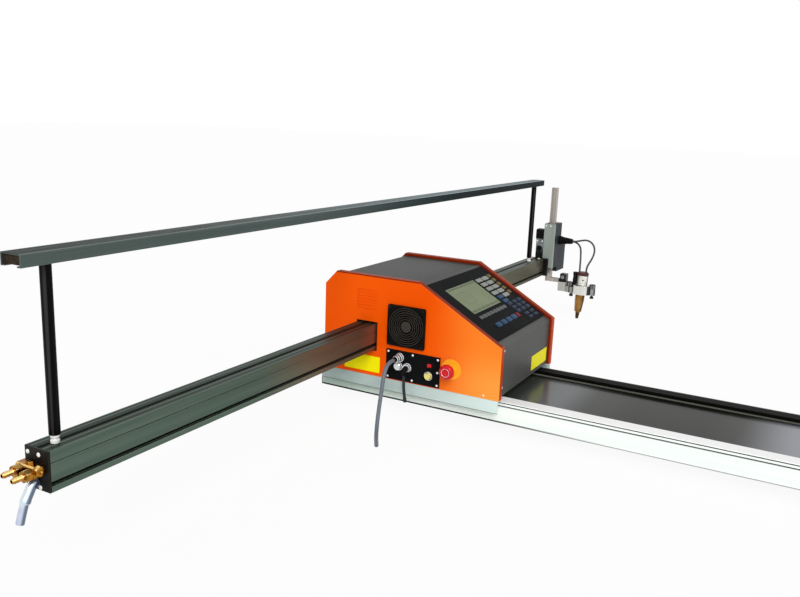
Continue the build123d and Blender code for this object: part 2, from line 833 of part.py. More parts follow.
rollers = {
    "low_front_roller": ((low_roller_x, roller_places[0], low_roller_z), low_roller_width),
    "low_rear_roller": ((low_roller_x, roller_places[1], low_roller_z), low_roller_width),
    "high_front_roller": ((high_roller_x, roller_places[0], high_roller_z), high_roller_width),
    "high_rear_roller": ((high_roller_x, roller_places[1], high_roller_z), high_roller_width),
}
for name, (centre, width) in rollers.items():
    with BuildPart() as roller:
        prism("X", centre, roller_radius, width, wheel_sides)
        prism("X", centre, roller_bore, 2 * width, plug_sides, Mode.SUBTRACT)
    keep(roller, name)

# Drive pinions and the two gear motors on the base plate
x_pinion_low = recess_floor + 1.5
x_pinion_width = rail_rack_height - 1.0
shaft_top = base_thickness + shaft_reach
y_pinion_width = beam_rack_width - 2.0
y_box_left = frame_right + 2.0
y_shaft_end = y_box_left + shaft_reach
with BuildPart() as x_pinion:
    with BuildSketch(Plane(origin=at(x_pinion_place, x_pinion_y, x_pinion_low), x_dir=(-1, 0, 0))):
        Polygon(*pinion_outline(drive_module), align=None)
    extrude(amount=x_pinion_width)
    shaft_middle = (x_pinion_low + shaft_top) / 2
    rod("Z", (x_pinion_place, x_pinion_y, shaft_middle), drive_shaft, shaft_top - x_pinion_low)
keep(x_pinion, "x_pinion")

with BuildPart() as y_pinion:
    with BuildSketch(cross_plane(rack_centre - y_pinion_width / 2)):
        with Locations((y_pinion_y, y_pinion_z)):
            Polygon(*pinion_outline(drive_module), align=None)
    extrude(amount=y_pinion_width)
    shaft_middle = (rack_centre + y_shaft_end) / 2
    rod("X", (shaft_middle, y_pinion_y, y_pinion_z), drive_shaft, y_shaft_end - rack_centre)
keep(y_pinion, "y_pinion")

box_top = base_thickness + gearbox_height
y_box_right = y_box_left + gearbox_height
y_motor_z = base_thickness + motor_radius + 3.0
with BuildPart() as drive_motors:
    block((x_pinion_place - gearbox_size / 2, x_pinion_y - gearbox_size / 2, base_thickness),
          (x_pinion_place + gearbox_size / 2, x_pinion_y + gearbox_size / 2, box_top))
    prism("Z", (x_pinion_place, x_pinion_y, box_top + motor_length / 2),
          motor_radius, motor_length, ring_sides)
    rod("Z", (x_pinion_place, x_pinion_y, base_thickness), drive_shaft + bearing_gap,
        2 * gearbox_bore, Mode.SUBTRACT)
    block((y_box_left, y_pinion_y - gearbox_size / 2, base_thickness),
          (y_box_right, y_pinion_y + gearbox_size / 2, base_thickness + gearbox_size))
    prism("X", (y_box_right + motor_length / 2, y_pinion_y, y_motor_z),
          motor_radius, motor_length, ring_sides)
    rod("X", (y_box_left, y_pinion_y, y_pinion_z), drive_shaft + bearing_gap,
        2 * gearbox_bore, Mode.SUBTRACT)
keep(drive_motors, "drive_motors")

# Cross beam: extrusion with a slot on top and on each side, and a scribed line
with BuildPart() as beam_profile:
    with BuildSketch(side_plane(beam_near)):
        oblong((beam_left, beam_right), (beam_bottom, beam_top))
        web = slot_depth + beam_wall
        side_slot = beam_top - side_slot_drop
        oblong((beam_left + web, beam_right - web),
               (beam_bottom + beam_wall, side_slot + slot_room), Mode.SUBTRACT)
        oblong((beam_left + beam_wall, beam_right - beam_wall),
               (side_slot + slot_room + beam_wall, beam_top - web), Mode.SUBTRACT)
        with Locations((beam_centre, beam_top)):
            Rectangle(slot_mouth, 2 * slot_lip, mode=Mode.SUBTRACT)
        oblong((beam_centre - slot_room / 2, beam_centre + slot_room / 2),
               (beam_top - slot_depth, beam_top - slot_lip), Mode.SUBTRACT)
        with Locations((beam_centre, side_slot)):
            with GridLocations(beam_width, 1, 2, 1):
                Rectangle(2 * slot_lip, slot_mouth, mode=Mode.SUBTRACT)
            with GridLocations(beam_width - slot_lip - slot_depth, 1, 2, 1):
                Rectangle(slot_depth - slot_lip, slot_room, mode=Mode.SUBTRACT)
        with Locations((beam_centre, beam_top - line_drop)):
            with GridLocations(beam_width, 1, 2, 1):
                Rectangle(groove_width, groove_width, mode=Mode.SUBTRACT)
    extrude(amount=-(beam_far - beam_near))
keep(beam_profile, "beam_profile")

beam_rack_centre = y_pinion_y + beam_rack_shift * drive_pitch
with BuildPart() as beam_rack:
    with BuildSketch(cross_plane(rack_centre - beam_rack_width / 2)):
        with Locations((beam_rack_centre, beam_bottom)):
            Polygon(*rack_outline(drive_module, beam_rack_teeth), align=None)
    extrude(amount=beam_rack_width)
keep(beam_rack, "beam_rack")

# End plates: a plain one at the near end, and a wider one that carries the lifter
end_face = beam_near - end_plate
with BuildPart() as beam_end_plates:
    block((beam_left, end_face, beam_bottom), (beam_right, beam_near, beam_top))
    block((beam_left, beam_far, beam_bottom), (far_plate_right, lifter_front, beam_top))
keep(beam_end_plates, "beam_end_plates")

# Hanger channel with its slot downwards, on two round posts with turned feet
with BuildPart() as hanger_channel:
    with BuildSketch(side_plane(channel_near)):
        with Locations((beam_centre, channel_bottom + channel_height / 2)):
            Rectangle(channel_width, channel_height)
            Rectangle(channel_width - 2 * channel_sheet, channel_height - 2 * channel_sheet,
                      mode=Mode.SUBTRACT)
        with Locations((beam_centre, channel_bottom)):
            Rectangle(channel_width - 2 * channel_lip, 2 * channel_sheet, mode=Mode.SUBTRACT)
    extrude(amount=-(channel_far - channel_near))
keep(hanger_channel, "hanger_channel")

post_top = channel_bottom + channel_height - channel_sheet
with BuildPart() as hanger_posts:
    for y in post_places:
        prism("Z", (post_centre, y, (beam_top + post_top) / 2), post_radius, post_top - beam_top, ring_sides)
        prism("Z", (post_centre, y, beam_top + post_foot_height / 2),
              post_foot_radius, post_foot_height, ring_sides)
keep(hanger_posts, "hanger_posts")

# Gas inlets: manifold block with a boss, then union nuts with hose tails and a plug in the block's end
manifold_front = end_face - manifold_depth
with BuildPart() as gas_manifold:
    block((manifold_x[0], manifold_front, manifold_z[0]), (manifold_x[1], end_face, manifold_z[1]))
    fillet(gas_manifold.faces().sort_by(Axis.Y)[0].edges().filter_by(Axis.X), manifold_round)
    prism("Z", (boss_place[0], manifold_front + boss_place[1], manifold_z[1] + boss_height / 2),
          boss_radius, boss_height, nut_sides)
keep(gas_manifold, "gas_manifold")

nut_face = manifold_front - nut_length
with BuildPart() as hose_tails:
    with BuildSketch(side_plane(manifold_front)):
        with Locations(*inlet_places):
            RegularPolygon(nut_radius, nut_sides)
    extrude(amount=nut_length)
    for x, z in inlet_places:
        prism("Y", (x, nut_face - tail_length / 2, z), tail_radius, tail_length, tail_sides)
        prism("Y", (x, nut_face - tail_length + barb_length, z), barb_radius, barb_length, tail_sides)
    prism("X", (manifold_x[1] + end_plug_length / 2, manifold_front + manifold_depth / 2, end_plug_height),
          end_plug_radius, end_plug_length, nut_sides)
keep(hose_tails, "hose_tails")

# Supply pipe: an elbow, then a ruled skin through sections that follow the pipe's bend, open at its end
elbow_way = Vector(0, -cos(radians(elbow_tilt)), -sin(radians(elbow_tilt)))
elbow_root = Vector(*at(elbow_place[0], end_face - elbow_radius, elbow_place[1]))
elbow_end = elbow_root + elbow_way * elbow_length
pipe_places = [
    (elbow_place[0], elbow_end.Y - host_front, elbow_end.Z - host_floor),
    (126.0, end_face - 23.4, 56.6),
    (125.5, end_face - 28.5, 42.0),
    (124.0, end_face - 32.5, 25.0),
]
pipe_points = [Vector(*at(*place)) for place in pipe_places]
pipe_ways = [elbow_way]
for before, here, after in zip(pipe_points, pipe_points[1:], pipe_points[2:]):
    pipe_ways.append((here - before).normalized() + (after - here).normalized())
pipe_ways.append(pipe_points[-1] - pipe_points[-2])
with BuildPart() as supply_pipe:
    for point, way in zip(pipe_points, pipe_ways):
        with BuildSketch(Plane(origin=point, x_dir=(1, 0, 0), z_dir=way)):
            RegularPolygon(pipe_radius, plug_sides)
    loft(ruled=True)
    with BuildSketch(Plane(origin=pipe_points[-1], x_dir=(1, 0, 0), z_dir=pipe_ways[-1])):
        RegularPolygon(pipe_bore, plug_sides)
    extrude(amount=-pipe_bore_depth, mode=Mode.SUBTRACT)
    with BuildSketch(Plane(origin=elbow_root, x_dir=(1, 0, 0), z_dir=elbow_way)):
        RegularPolygon(elbow_radius, plug_sides)
    extrude(amount=elbow_length)
    prism("Y", (elbow_place[0], end_face - elbow_radius / 2, elbow_place[1]),
          elbow_radius, elbow_radius, plug_sides)
keep(supply_pipe, "supply_pipe")

# Lifter: bracket on the beam's end plate, housing with slide bushes, front plate, motor, gland
with BuildPart() as lifter_bracket:
    block((bracket_left, lifter_front, bracket_foot),
          (lifter_left, lifter_front + bracket_depth, bracket_top))
    block((bracket_left, lifter_front + bracket_web, bracket_shelf),
          (lifter_left - bracket_web, lifter_front + bracket_depth, bracket_top), Mode.SUBTRACT)
keep(lifter_bracket, "lifter_bracket")


def lifter_side(inset):
    """Corners of the lifter housing's side, drawn in by inset except at its open front."""
    upper = lifter_front + lifter_upper_depth - inset
    lower = lifter_front + lifter_depth - inset
    heel, heel_bottom = (measure + inset for measure in lifter_heel)
    return [
        (body_front, lifter_bottom + inset),
        (heel, lifter_bottom + inset),
        (heel, heel_bottom),
        (lower, heel_bottom),
        (lower, lifter_step[0]),
        (upper, lifter_step[1]),
        (upper, lifter_top - inset),
        (body_front, lifter_top - inset),
    ]


lift_radius = lift_module * pinion_teeth / 2
lift_pinion_y = bar_back + rack_pitch_line(lift_module) + lift_radius
rack_tip = lift_pinion_y - lift_radius + addendum * lift_module
slot_gap = 5.0
with BuildPart() as lifter_housing:
    with BuildSketch(cross_plane(lifter_left)):
        Polygon(*lifter_side(0), align=None)
    extrude(amount=lifter_width)
    with BuildSketch(cross_plane(lifter_left + lifter_wall)):
        Polygon(*lifter_side(lifter_wall), align=None)
    extrude(amount=lifter_width - 2 * lifter_wall, mode=Mode.SUBTRACT)
    block((bar_left - slot_gap, bar_front - slot_gap, lifter_bottom - 1.0),
          (bar_right + slot_gap, rack_tip + 2.0, lifter_top + 1.0), Mode.SUBTRACT)
    prism("X", (lifter_left, lift_pinion_y, lift_motor_height),
          2 * lift_shaft, 3 * lifter_wall, plug_sides, Mode.SUBTRACT)
    for low in (lifter_bottom + lifter_wall, lifter_top - lifter_wall - bush_height):
        block((lifter_left + lifter_wall, body_front, low),
              (lifter_right - lifter_wall, bar_back - 2.0, low + bush_height))
    block((bar_left - running_gap, bar_front - running_gap, lifter_bottom),
          (bar_right + running_gap, bar_back, lifter_top), Mode.SUBTRACT)
keep(lifter_housing, "lifter_housing")

with BuildPart() as lifter_front_plate:
    block((lifter_left, lifter_front, lifter_bottom), (lifter_right, body_front, lifter_top))
    chamfer(lifter_front_plate.faces().sort_by(Axis.Y)[0].edges(), front_plate_chamfer)
keep(lifter_front_plate, "lifter_front_plate")

with BuildPart() as lift_pinion:
    with BuildSketch(Plane(origin=at(bar_centre - bar_rack_width / 2, lift_pinion_y, lift_motor_height),
                           x_dir=(0, 0, 1), z_dir=(1, 0, 0))):
        Polygon(*pinion_outline(lift_module), align=None)
    extrude(amount=bar_rack_width)
    shaft_start = lifter_left - lift_shaft_reach
    rod("X", ((shaft_start + bar_centre) / 2, lift_pinion_y, lift_motor_height),
        lift_shaft, bar_centre - shaft_start)
keep(lift_pinion, "lift_pinion")

with BuildPart() as lift_motor:
    with BuildSketch(cross_plane(lift_motor_left)):
        with Locations((lift_pinion_y, lift_motor_height)):
            square = Rectangle(lift_motor_side, lift_motor_side)
        chamfer(square.vertices(), lift_motor_round)
    extrude(amount=lifter_left - lift_motor_left)
    rod("X", (lifter_left, lift_pinion_y, lift_motor_height), lift_shaft + bearing_gap,
        2 * lift_shaft_reach + 2.0, Mode.SUBTRACT)
keep(lift_motor, "lift_motor")

with BuildPart() as hose_gland:
    prism("X", (lifter_right + gland_length / 2, *gland_place), gland_root_radius, gland_length, turned_sides)
    taper(hose_gland.faces().sort_by(Axis.X)[-1], gland_taper, gland_length - gland_nut_length)
    prism("X", (lifter_right + gland_nut_length / 2, *gland_place),
          gland_radius, gland_nut_length, turned_sides)
keep(hose_gland, "hose_gland")

# Slide bar: a square bar with a foot towards the torch and a rack on its back
bar_rack_centre = lift_motor_height + bar_rack_shift * pi * lift_module
with BuildPart() as slide_bar:
    block((bar_left, bar_front, bar_foot), (bar_right, bar_back, bar_top))
    block((bar_left, bar_front, bar_foot), (foot_end, bar_back, bar_foot + foot_thickness))
    with BuildSketch(Plane(origin=at(bar_centre - bar_rack_width / 2, bar_back, bar_rack_centre),
                           x_dir=(0, 0, 1), z_dir=(1, 0, 0))):
        Polygon(*rack_outline(lift_module, bar_rack_teeth), align=None)
    extrude(amount=bar_rack_width)
keep(slide_bar, "slide_bar")



def torch_prism(low, high, radius, mode=Mode.ADD):
    """Many-sided bar on the torch's leaning axis, between two heights measured from the cap's top."""
    plane = Plane(origin=at(torch_x, torch_y, cap_top), x_dir=(cos(torch_lean), 0, -sin(torch_lean)),
                  z_dir=(sin(torch_lean), 0, cos(torch_lean)))
    with BuildSketch(plane.offset(low - cap_top)) as section:
        RegularPolygon(radius, turned_sides)
    extrude(section.sketch, amount=high - low, mode=mode)


# Torch arm: clamp block with a waist, its bolt, and a ring with two lobes and thumb screws
cap_low, cap_top = cap_height
arm_middle = sum(arm_reach) / 2
with BuildPart() as arm_block:
    block((foot_end, arm_reach[0], arm_height[0]), (arm_end, arm_reach[1], arm_height[1]))
    block((foot_end, arm_reach[0], arm_waist[1]),
          (foot_end + arm_notch, arm_reach[1], arm_height[1]), Mode.SUBTRACT)
    block((foot_end, arm_reach[0], arm_waist[0]),
          (arm_end, arm_reach[0] + arm_notch, arm_waist[1]), Mode.SUBTRACT)
    prism("Y", (arm_bolt_place[0], arm_middle, arm_bolt_place[1]),
          arm_bolt_radius, 2 * (arm_reach[1] - arm_reach[0]), tail_sides, Mode.SUBTRACT)
keep(arm_block, "arm_block")

ring_low, ring_high = clamp_ring_height
with BuildPart() as clamp_ring:
    with BuildSketch(level_plane(ring_low)):
        with Locations((torch_x, torch_y)):
            RegularPolygon(clamp_ring_radius, turned_sides)
    extrude(amount=ring_high - ring_low)
    with BuildSketch(level_plane(ring_low)):
        oblong((arm_end, torch_x), (torch_y + ring_neck[0], torch_y + ring_neck[1]))
        for side in (-1, 1):
            with Locations((torch_x + side * lobe_reach, torch_y - lobe_setback)):
                RegularPolygon(lobe_radius, ring_sides)
    extrude(amount=lobe_height)
    torch_prism(ring_low - ring_high, 2 * ring_high, torch_radius, Mode.SUBTRACT)
keep(clamp_ring, "clamp_ring")

with BuildPart() as arm_fasteners:
    prism("Y", (arm_bolt_place[0], arm_middle, arm_bolt_place[1]),
          arm_bolt_radius, arm_reach[1] - arm_reach[0], tail_sides)
    head_radius, head_height = arm_bolt_head
    prism("Y", (arm_bolt_place[0], arm_reach[0] - head_height / 2, arm_bolt_place[1]),
          head_radius, head_height, nut_sides)
    thumb_top = ring_low - thumb_neck
    for side in (-1, 1):
        x = torch_x + side * lobe_reach
        y = torch_y - lobe_setback
        prism("Z", (x, y, ring_low - thumb_neck / 2), thumb_neck, thumb_neck, tail_sides)
        prism("Z", (x, y, thumb_top - thumb_height / 2), thumb_radius, thumb_height, ring_sides)
keep(arm_fasteners, "arm_fasteners")

# Torch: body, cap and nozzle turned about one axis
nozzle_low = torch_tip + tip_length
with BuildPart() as torch_body:
    torch_prism(ring_low, cap_low, torch_radius)
keep(torch_body, "torch_body")

with BuildPart() as torch_cap:
    torch_prism(cap_low, cap_top, cap_radius)
    taper(torch_cap.faces().sort_by(Axis.Z)[-1], *cap_edge)
keep(torch_cap, "torch_cap")

with BuildPart() as torch_nozzle:
    torch_prism(nozzle_low, ring_low, nozzle_radius)
    taper(torch_nozzle.faces().sort_by(Axis.Z)[0], nozzle_taper, nozzle_shoulder - nozzle_low)
    torch_prism(torch_tip, nozzle_low, tip_radius)
    taper(torch_nozzle.faces().sort_by(Axis.Z)[0], tip_taper, tip_length - tip_shoulder)
keep(torch_nozzle, "torch_nozzle")

# Cords and hoses: straight runs joined by the largest arcs that fit
gland_end = lifter_right + gland_length
gland_y, gland_z = gland_place
cable_floor = -host_floor + cable_radius + 0.2
cord_routes = {
    "torch_hose_near": (torch_hose_radius, [
        (gland_end, gland_y + 4.5, gland_z - 1.0),
        (gland_end + 12.0, gland_y + 4.5, gland_z - 1.0),
        (263.5, 1370.5, 200.5),
        (274.0, 1367.0, 191.5),
        (281.0, 1361.5, 179.0),
        (286.5, 1348.5, 152.0),
        (291.5, 1333.0, 118.0),
        (291.5, 1333.0, cap_top + 1.4),
    ]),
    "torch_hose_far": (torch_hose_radius, [
        (gland_end, gland_y - 4.5, gland_z + 1.0),
        (gland_end + 18.0, gland_y - 4.5, gland_z + 1.0),
        (279.0, 1361.5, 214.0),
        (303.0, 1357.0, 219.0),
        (325.0, 1350.5, 212.0),
        (339.0, 1344.0, 195.0),
        (341.0, 1339.0, 172.0),
        (334.0, 1335.0, 149.0),
        (323.0, 1331.5, 128.0),
        (318.0, 1331.0, 112.0),
        (318.0, 1331.0, cap_top - 0.2),
    ]),
    "control_cable": (cable_radius, [
        (control_socket[0], control_exit, control_socket[1]),
        (control_socket[0], control_exit - 18.0, control_socket[1]),
        (231.5, control_exit - 36.0, 58.0),
        (234.5, control_exit - 51.0, 45.0),
        (237.0, control_exit - 61.0, 26.5),
        (237.5, control_exit - 67.0, 3.0),
        (237.0, control_exit - 72.0, -22.0),
        (238.5, control_exit - 80.0, -46.0),
        (243.5, control_exit - 93.0, -67.5),
        (253.0, control_exit - 112.0, -81.5),
        (266.0, control_exit - 135.0, cable_floor),
        (280.0, control_exit - 158.0, cable_floor),
    ]),
    "signal_lead": (lead_radius, [
        (signal_socket[0], elbow_y, nipple_end),
        (signal_socket[0], elbow_y, nipple_end - 17.0),
        (signal_socket[0] + 2.5, elbow_y - 2.5, nipple_end - 38.0),
        (signal_socket[0] + 6.0, elbow_y - 2.0, nipple_end - 59.0),
    ]),
}
for name, (radius, route) in cord_routes.items():
    points = [Vector(*at(*place)) for place in route]
    radii = bend_radii(points)
    with BuildPart() as cord:
        with BuildLine() as path:
            FilletPolyline(*points, radius=radii)
        with BuildSketch(Plane(origin=path.wire() @ 0, z_dir=path.wire() % 0)):
            RegularPolygon(radius, tube_sides)
        sweep(path=path.wire())
    length = path.wire().length
    section = tube_sides / 2 * radius**2 * sin(2 * pi / tube_sides)
    share = cord.part.volume / (section * length)
    print(name, "radii", [round(r, 1) for r in radii], "length", round(length, 1), "volume", round(share, 4))
    keep(cord, name)

# Plugs on the free ends of the two cables
cord_plugs = {
    "control_plug": ("control_cable", cable_radius, cable_plug_length),
    "lead_plug": ("signal_lead", lead_plug_radius, lead_plug_length),
}
for name, (cord_name, radius, length) in cord_plugs.items():
    before, end = (Vector(*at(*place)) for place in cord_routes[cord_name][1][-2:])
    with BuildPart() as plug:
        with BuildSketch(Plane(origin=end, z_dir=end - before)):
            RegularPolygon(radius, ring_sides)
        extrude(amount=length)
    keep(plug, name)
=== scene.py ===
import bmesh
import bpy
import numpy as np
from mathutils import Matrix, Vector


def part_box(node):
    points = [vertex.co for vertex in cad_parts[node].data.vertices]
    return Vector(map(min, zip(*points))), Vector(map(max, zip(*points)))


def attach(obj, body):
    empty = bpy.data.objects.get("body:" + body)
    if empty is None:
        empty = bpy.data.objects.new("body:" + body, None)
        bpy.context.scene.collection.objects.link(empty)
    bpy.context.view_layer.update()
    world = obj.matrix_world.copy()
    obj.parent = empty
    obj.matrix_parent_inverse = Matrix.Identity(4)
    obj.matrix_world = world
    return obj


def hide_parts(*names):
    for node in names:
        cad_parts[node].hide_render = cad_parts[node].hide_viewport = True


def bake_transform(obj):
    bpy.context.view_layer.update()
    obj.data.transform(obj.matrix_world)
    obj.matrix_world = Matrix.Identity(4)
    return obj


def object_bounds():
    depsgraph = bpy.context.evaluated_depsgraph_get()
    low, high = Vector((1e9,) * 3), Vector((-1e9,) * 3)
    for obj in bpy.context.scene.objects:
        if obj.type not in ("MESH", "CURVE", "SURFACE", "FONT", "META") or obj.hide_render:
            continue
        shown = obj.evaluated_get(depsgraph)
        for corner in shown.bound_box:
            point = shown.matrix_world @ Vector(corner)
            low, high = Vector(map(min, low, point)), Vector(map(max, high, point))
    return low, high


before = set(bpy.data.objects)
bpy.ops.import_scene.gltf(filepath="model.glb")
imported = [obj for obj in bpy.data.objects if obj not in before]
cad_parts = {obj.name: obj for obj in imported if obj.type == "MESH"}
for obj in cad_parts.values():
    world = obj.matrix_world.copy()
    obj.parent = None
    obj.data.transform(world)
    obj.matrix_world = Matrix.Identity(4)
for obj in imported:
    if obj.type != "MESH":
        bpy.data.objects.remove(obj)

# A portable flame cutting machine: an orange host on a floor rail, a cross beam that slides through
# the host, and a torch on a motor lifter at the beam's far end. Places and sizes are millimetres in
# the host's own frame: x along the rail, y along the beam, z up, from the lowest left corner of the
# host's front side plate. at() turns them into the frame's metres.
MM = 0.001
CAD_BOX = [list(corner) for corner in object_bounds()]
HOST = np.array(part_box("front_side_plate")[0])
X, Y, Z = np.eye(3)

# The sloping panel: down the slope, across it and out of it, from the slope's upper edge.
SLOPE_TOP = np.array([270.0, 0.0, 262.0])
SLOPE_ANGLE = np.arctan2(131.0, 230.0)
SLOPE_DOWN = np.array([np.cos(SLOPE_ANGLE), 0.0, -np.sin(SLOPE_ANGLE)])
SLOPE_OUT = np.array([np.sin(SLOPE_ANGLE), 0.0, np.cos(SLOPE_ANGLE)])
PANEL_FACE = -4.0

MERGE_M = 2e-6
SHARP_ANGLE = np.radians(32.0)


def spots(x, y, z):
    """Places from a number or an array for each axis."""
    return np.stack(np.broadcast_arrays(x, y, z), axis=-1)


def at(x, y, z):
    """Host millimetres, numbers or arrays, as the frame's metres."""
    return spots(x, y, z) * MM + HOST


def on_slope(down, across, out):
    """Places on the sloping panel as host places."""
    return SLOPE_TOP + spots(down, across, out) @ np.array([SLOPE_DOWN, Y, SLOPE_OUT])


# Surfaces. Each function gives grids of points, (copies, rows, columns, 3), in host millimetres.


def unit(vectors):
    """Vectors brought to length 1."""
    vectors = np.asarray(vectors, float)
    return vectors / np.linalg.norm(vectors, axis=-1, keepdims=True)


def cross_axes(axis):
    """Two unit directions square to an axis and to each other."""
    first = unit(np.cross(axis, X if abs(axis @ Z) > 0.9 else Z))
    return first, np.cross(axis, first)


def turned(places, axis, profile, columns=40, flats=None, waves=0, depth=0.0, shut=True):
    """Turned pieces: place + h * axis + r * (cos u * a + sin u * b), with (h, r) the profile's rows and
    u once round. A shut profile gets rows on the axis at both ends. flats keeps r inside a hexagon of that
    width, and waves adds depth * cos(waves * u)."""
    axis = unit(axis)
    first, second = cross_axes(axis)
    rows = np.asarray(profile, float)
    if shut:
        ends = rows[[0, -1]] * (1, 0)
        rows = np.concatenate([ends[:1], rows, ends[1:]])
    height, radius = rows.T[..., None]
    turn = np.linspace(0.0, 2 * np.pi, columns, endpoint=False)[None]
    radius = radius + depth * np.cos(waves * turn) * (radius > 2 * depth)
    if flats:
        sixth = np.pi / 3
        radius = np.minimum(radius, flats / 2 / np.cos((turn + sixth / 2) % sixth - sixth / 2))
    spoke = np.cos(turn)[..., None] * first + np.sin(turn)[..., None] * second
    ring = height[..., None] * axis + radius[..., None] * spoke
    return np.atleast_2d(places)[:, None, None, :].astype(float) + ring


def plates(places, size, rows, corner, across, along, crown=0.0, steps=4):
    """Rounded rectangles stacked along across x along: each row's (inset, height) gives corner centres
    + (corner - inset) * (cos u, sin u) at that height. Both ends close on their middle, the upper one
    raised by crown."""
    half = np.asarray(size, float) / 2 - corner
    quarter = np.repeat(np.arange(4), steps + 1)
    turn = (quarter + np.tile(np.linspace(0.0, 1.0, steps + 1), 4)) * np.pi / 2
    side = np.where(np.isin(quarter, (0, 3)), half[0], -half[0])
    end = np.where(quarter < 2, half[1], -half[1])
    inset, height = np.asarray(rows, float).T[..., None]
    radius = corner - inset
    ring = spots(side + radius * np.cos(turn), end + radius * np.sin(turn), height)
    foot, top = ring[:1] * Z, (ring[-1:] + crown) * Z
    stack = np.concatenate([foot, ring, top]) @ np.array([across, along, np.cross(across, along)])
    return np.atleast_2d(places)[:, None, None, :].astype(float) + stack


def tube(path, radius, reference, sides=18):
    """A tube: rings of a radius, or one radius for each point, square to the path, with cross(path,
    reference) as their first direction. Its ends close on the path."""
    path = np.asarray(path, float)
    along = unit(np.gradient(path, axis=0))
    first = unit(np.cross(along, reference))
    second = np.cross(along, first)
    turn = np.linspace(0.0, 2 * np.pi, sides, endpoint=False)[None, :, None]
    spoke = np.cos(turn) * first[:, None] + np.sin(turn) * second[:, None]
    ring = path[:, None] + np.broadcast_to(radius, len(path))[:, None, None] * spoke
    ends = np.broadcast_to(path[[0, -1]][:, None], (2, sides, 3))
    return np.concatenate([ends[:1], ring, ends[1:]])[None]


def wire(radius, thick, sides=10):
    """The closed profile of a wire ring: h = w * sin v, r = R + w * cos v."""
    turn = np.linspace(0.0, 2 * np.pi, sides + 1)
    return np.stack([thick * np.sin(turn), radius + thick * np.cos(turn)], axis=-1)


def square_ring(centre, side, corner, bore, rows, columns=96):
    """A square plate with a round hole, seen along y: each row's (share, y) lies between the rounded
    square, share 0, and the hole's circle, share 1, at the same angle. The rows close on themselves."""
    turn = (np.arange(columns) + 0.5) * 2 * np.pi / columns
    ray = np.array([np.cos(turn), np.sin(turn)])
    power = 2 * side / corner
    reach = (np.abs(ray) ** power).sum(0) ** (-1 / power) * side / 2
    share, depth = np.asarray(rows + rows[:1], float).T[..., None]
    x, z = ((1 - share) * reach + share * bore) * ray[:, None]
    return (np.asarray(centre, float) + spots(x, depth, z))[None]


def grid_quads(copies, rows, columns):
    """Quads between neighbours on each grid, all the way round its columns."""
    point = np.arange(copies * rows * columns).reshape(copies, rows, columns)
    after = np.roll(point, -1, axis=2)
    corners = (point[:, :-1], after[:, :-1], after[:, 1:], point[:, 1:])
    return np.stack(corners, axis=-1).reshape(-1, 4)


def linked(name, data):
    """A new object in the scene."""
    made = bpy.data.objects.new(name, data)
    bpy.context.scene.collection.objects.link(made)
    return made


def mesh_object(name, grids, finish):
    """A mesh of all the grids. Points that fall together merge, which shuts poles and seams, and each
    shell is turned outwards."""
    starts = np.cumsum([0] + [grid.size // 3 for grid in grids])
    points = np.concatenate([grid.reshape(-1, 3) for grid in grids])
    quads = [start + grid_quads(*grid.shape[:3]) for start, grid in zip(starts, grids)]
    mesh = bpy.data.meshes.new(name)
    mesh.from_pydata(at(*points.T).tolist(), [], np.concatenate(quads).tolist())
    shell = bmesh.new()
    shell.from_mesh(mesh)
    bmesh.ops.remove_doubles(shell, verts=shell.verts, dist=MERGE_M)
    bmesh.ops.dissolve_degenerate(shell, edges=shell.edges, dist=MERGE_M)
    bmesh.ops.recalc_face_normals(shell, faces=shell.faces)
    shell.to_mesh(mesh)
    shell.free()
    mesh.shade_smooth()
    mesh.set_sharp_from_angle(angle=SHARP_ANGLE)
    mesh.materials.append(finish)
    return linked(name, mesh)


def piece(name, body, finish, *grids, replaces=()):
    """A new piece on a body, with its finish, which hides the nodes that it stands for."""
    made = mesh_object(name, grids, finish)
    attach(made, body)
    if replaces:
        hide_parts(*replaces)
    return made


def lathe(name, body, finish, places, axis, profile, replaces=(), **shape):
    """A new piece that is one turned shape, or copies of it."""
    return piece(name, body, finish, turned(places, axis, profile, **shape), replaces=replaces)


# Nodes and node groups.


def tone(red, green, blue):
    """A display colour, 0 to 255, as the linear colour that renders as it."""
    share = np.array([red, green, blue]) / 255
    linear = np.where(share <= 0.04045, share / 12.92, ((share + 0.055) / 1.055) ** 2.4)
    return (*linear.tolist(), 1.0)


def feed(node, inputs):
    """Gives a node's sockets, by name or number, values or other nodes' outputs."""
    for key, value in inputs.items():
        if isinstance(value, bpy.types.NodeSocket):
            node.id_data.links.new(value, node.inputs[key])
        else:
            node.inputs[key].default_value = value


def add(tree, kind, inputs=None, **settings):
    """The outputs of a new shader node."""
    made = tree.nodes.new("ShaderNode" + kind)
    for key, value in settings.items():
        setattr(made, key, value)
    feed(made, inputs or {})
    return made.outputs


def mix(tree, share, first, second):
    """A colour between two."""
    return add(tree, "Mix", {0: share, 6: first, 7: second}, data_type="RGBA")[2]


def work(tree, operation, first, second=0.0):
    """Arithmetic on two values."""
    return add(tree, "Math", {0: first, 1: second}, operation=operation)[0]


def dot(tree, first, second):
    """The dot product of two vectors."""
    return add(tree, "VectorMath", {0: first, 1: second}, operation="DOT_PRODUCT")["Value"]


def ramp(tree, value, low, high, start=0.0, end=1.0):
    """A value that goes smoothly from start to end while another goes from low to high."""
    limits = {"Value": value, "From Min": low, "From Max": high, "To Min": start, "To Max": end}
    return add(tree, "MapRange", limits, interpolation_type="SMOOTHSTEP")["Result"]


def noise(tree, place, scale, detail):
    """Noise from 0 to 1."""
    return add(tree, "TexNoise", {"Vector": place, "Scale": scale, "Detail": detail})[0]


def object_place(tree):
    """Object coordinates, which are the frame's metres."""
    return add(tree, "TexCoord")["Object"]


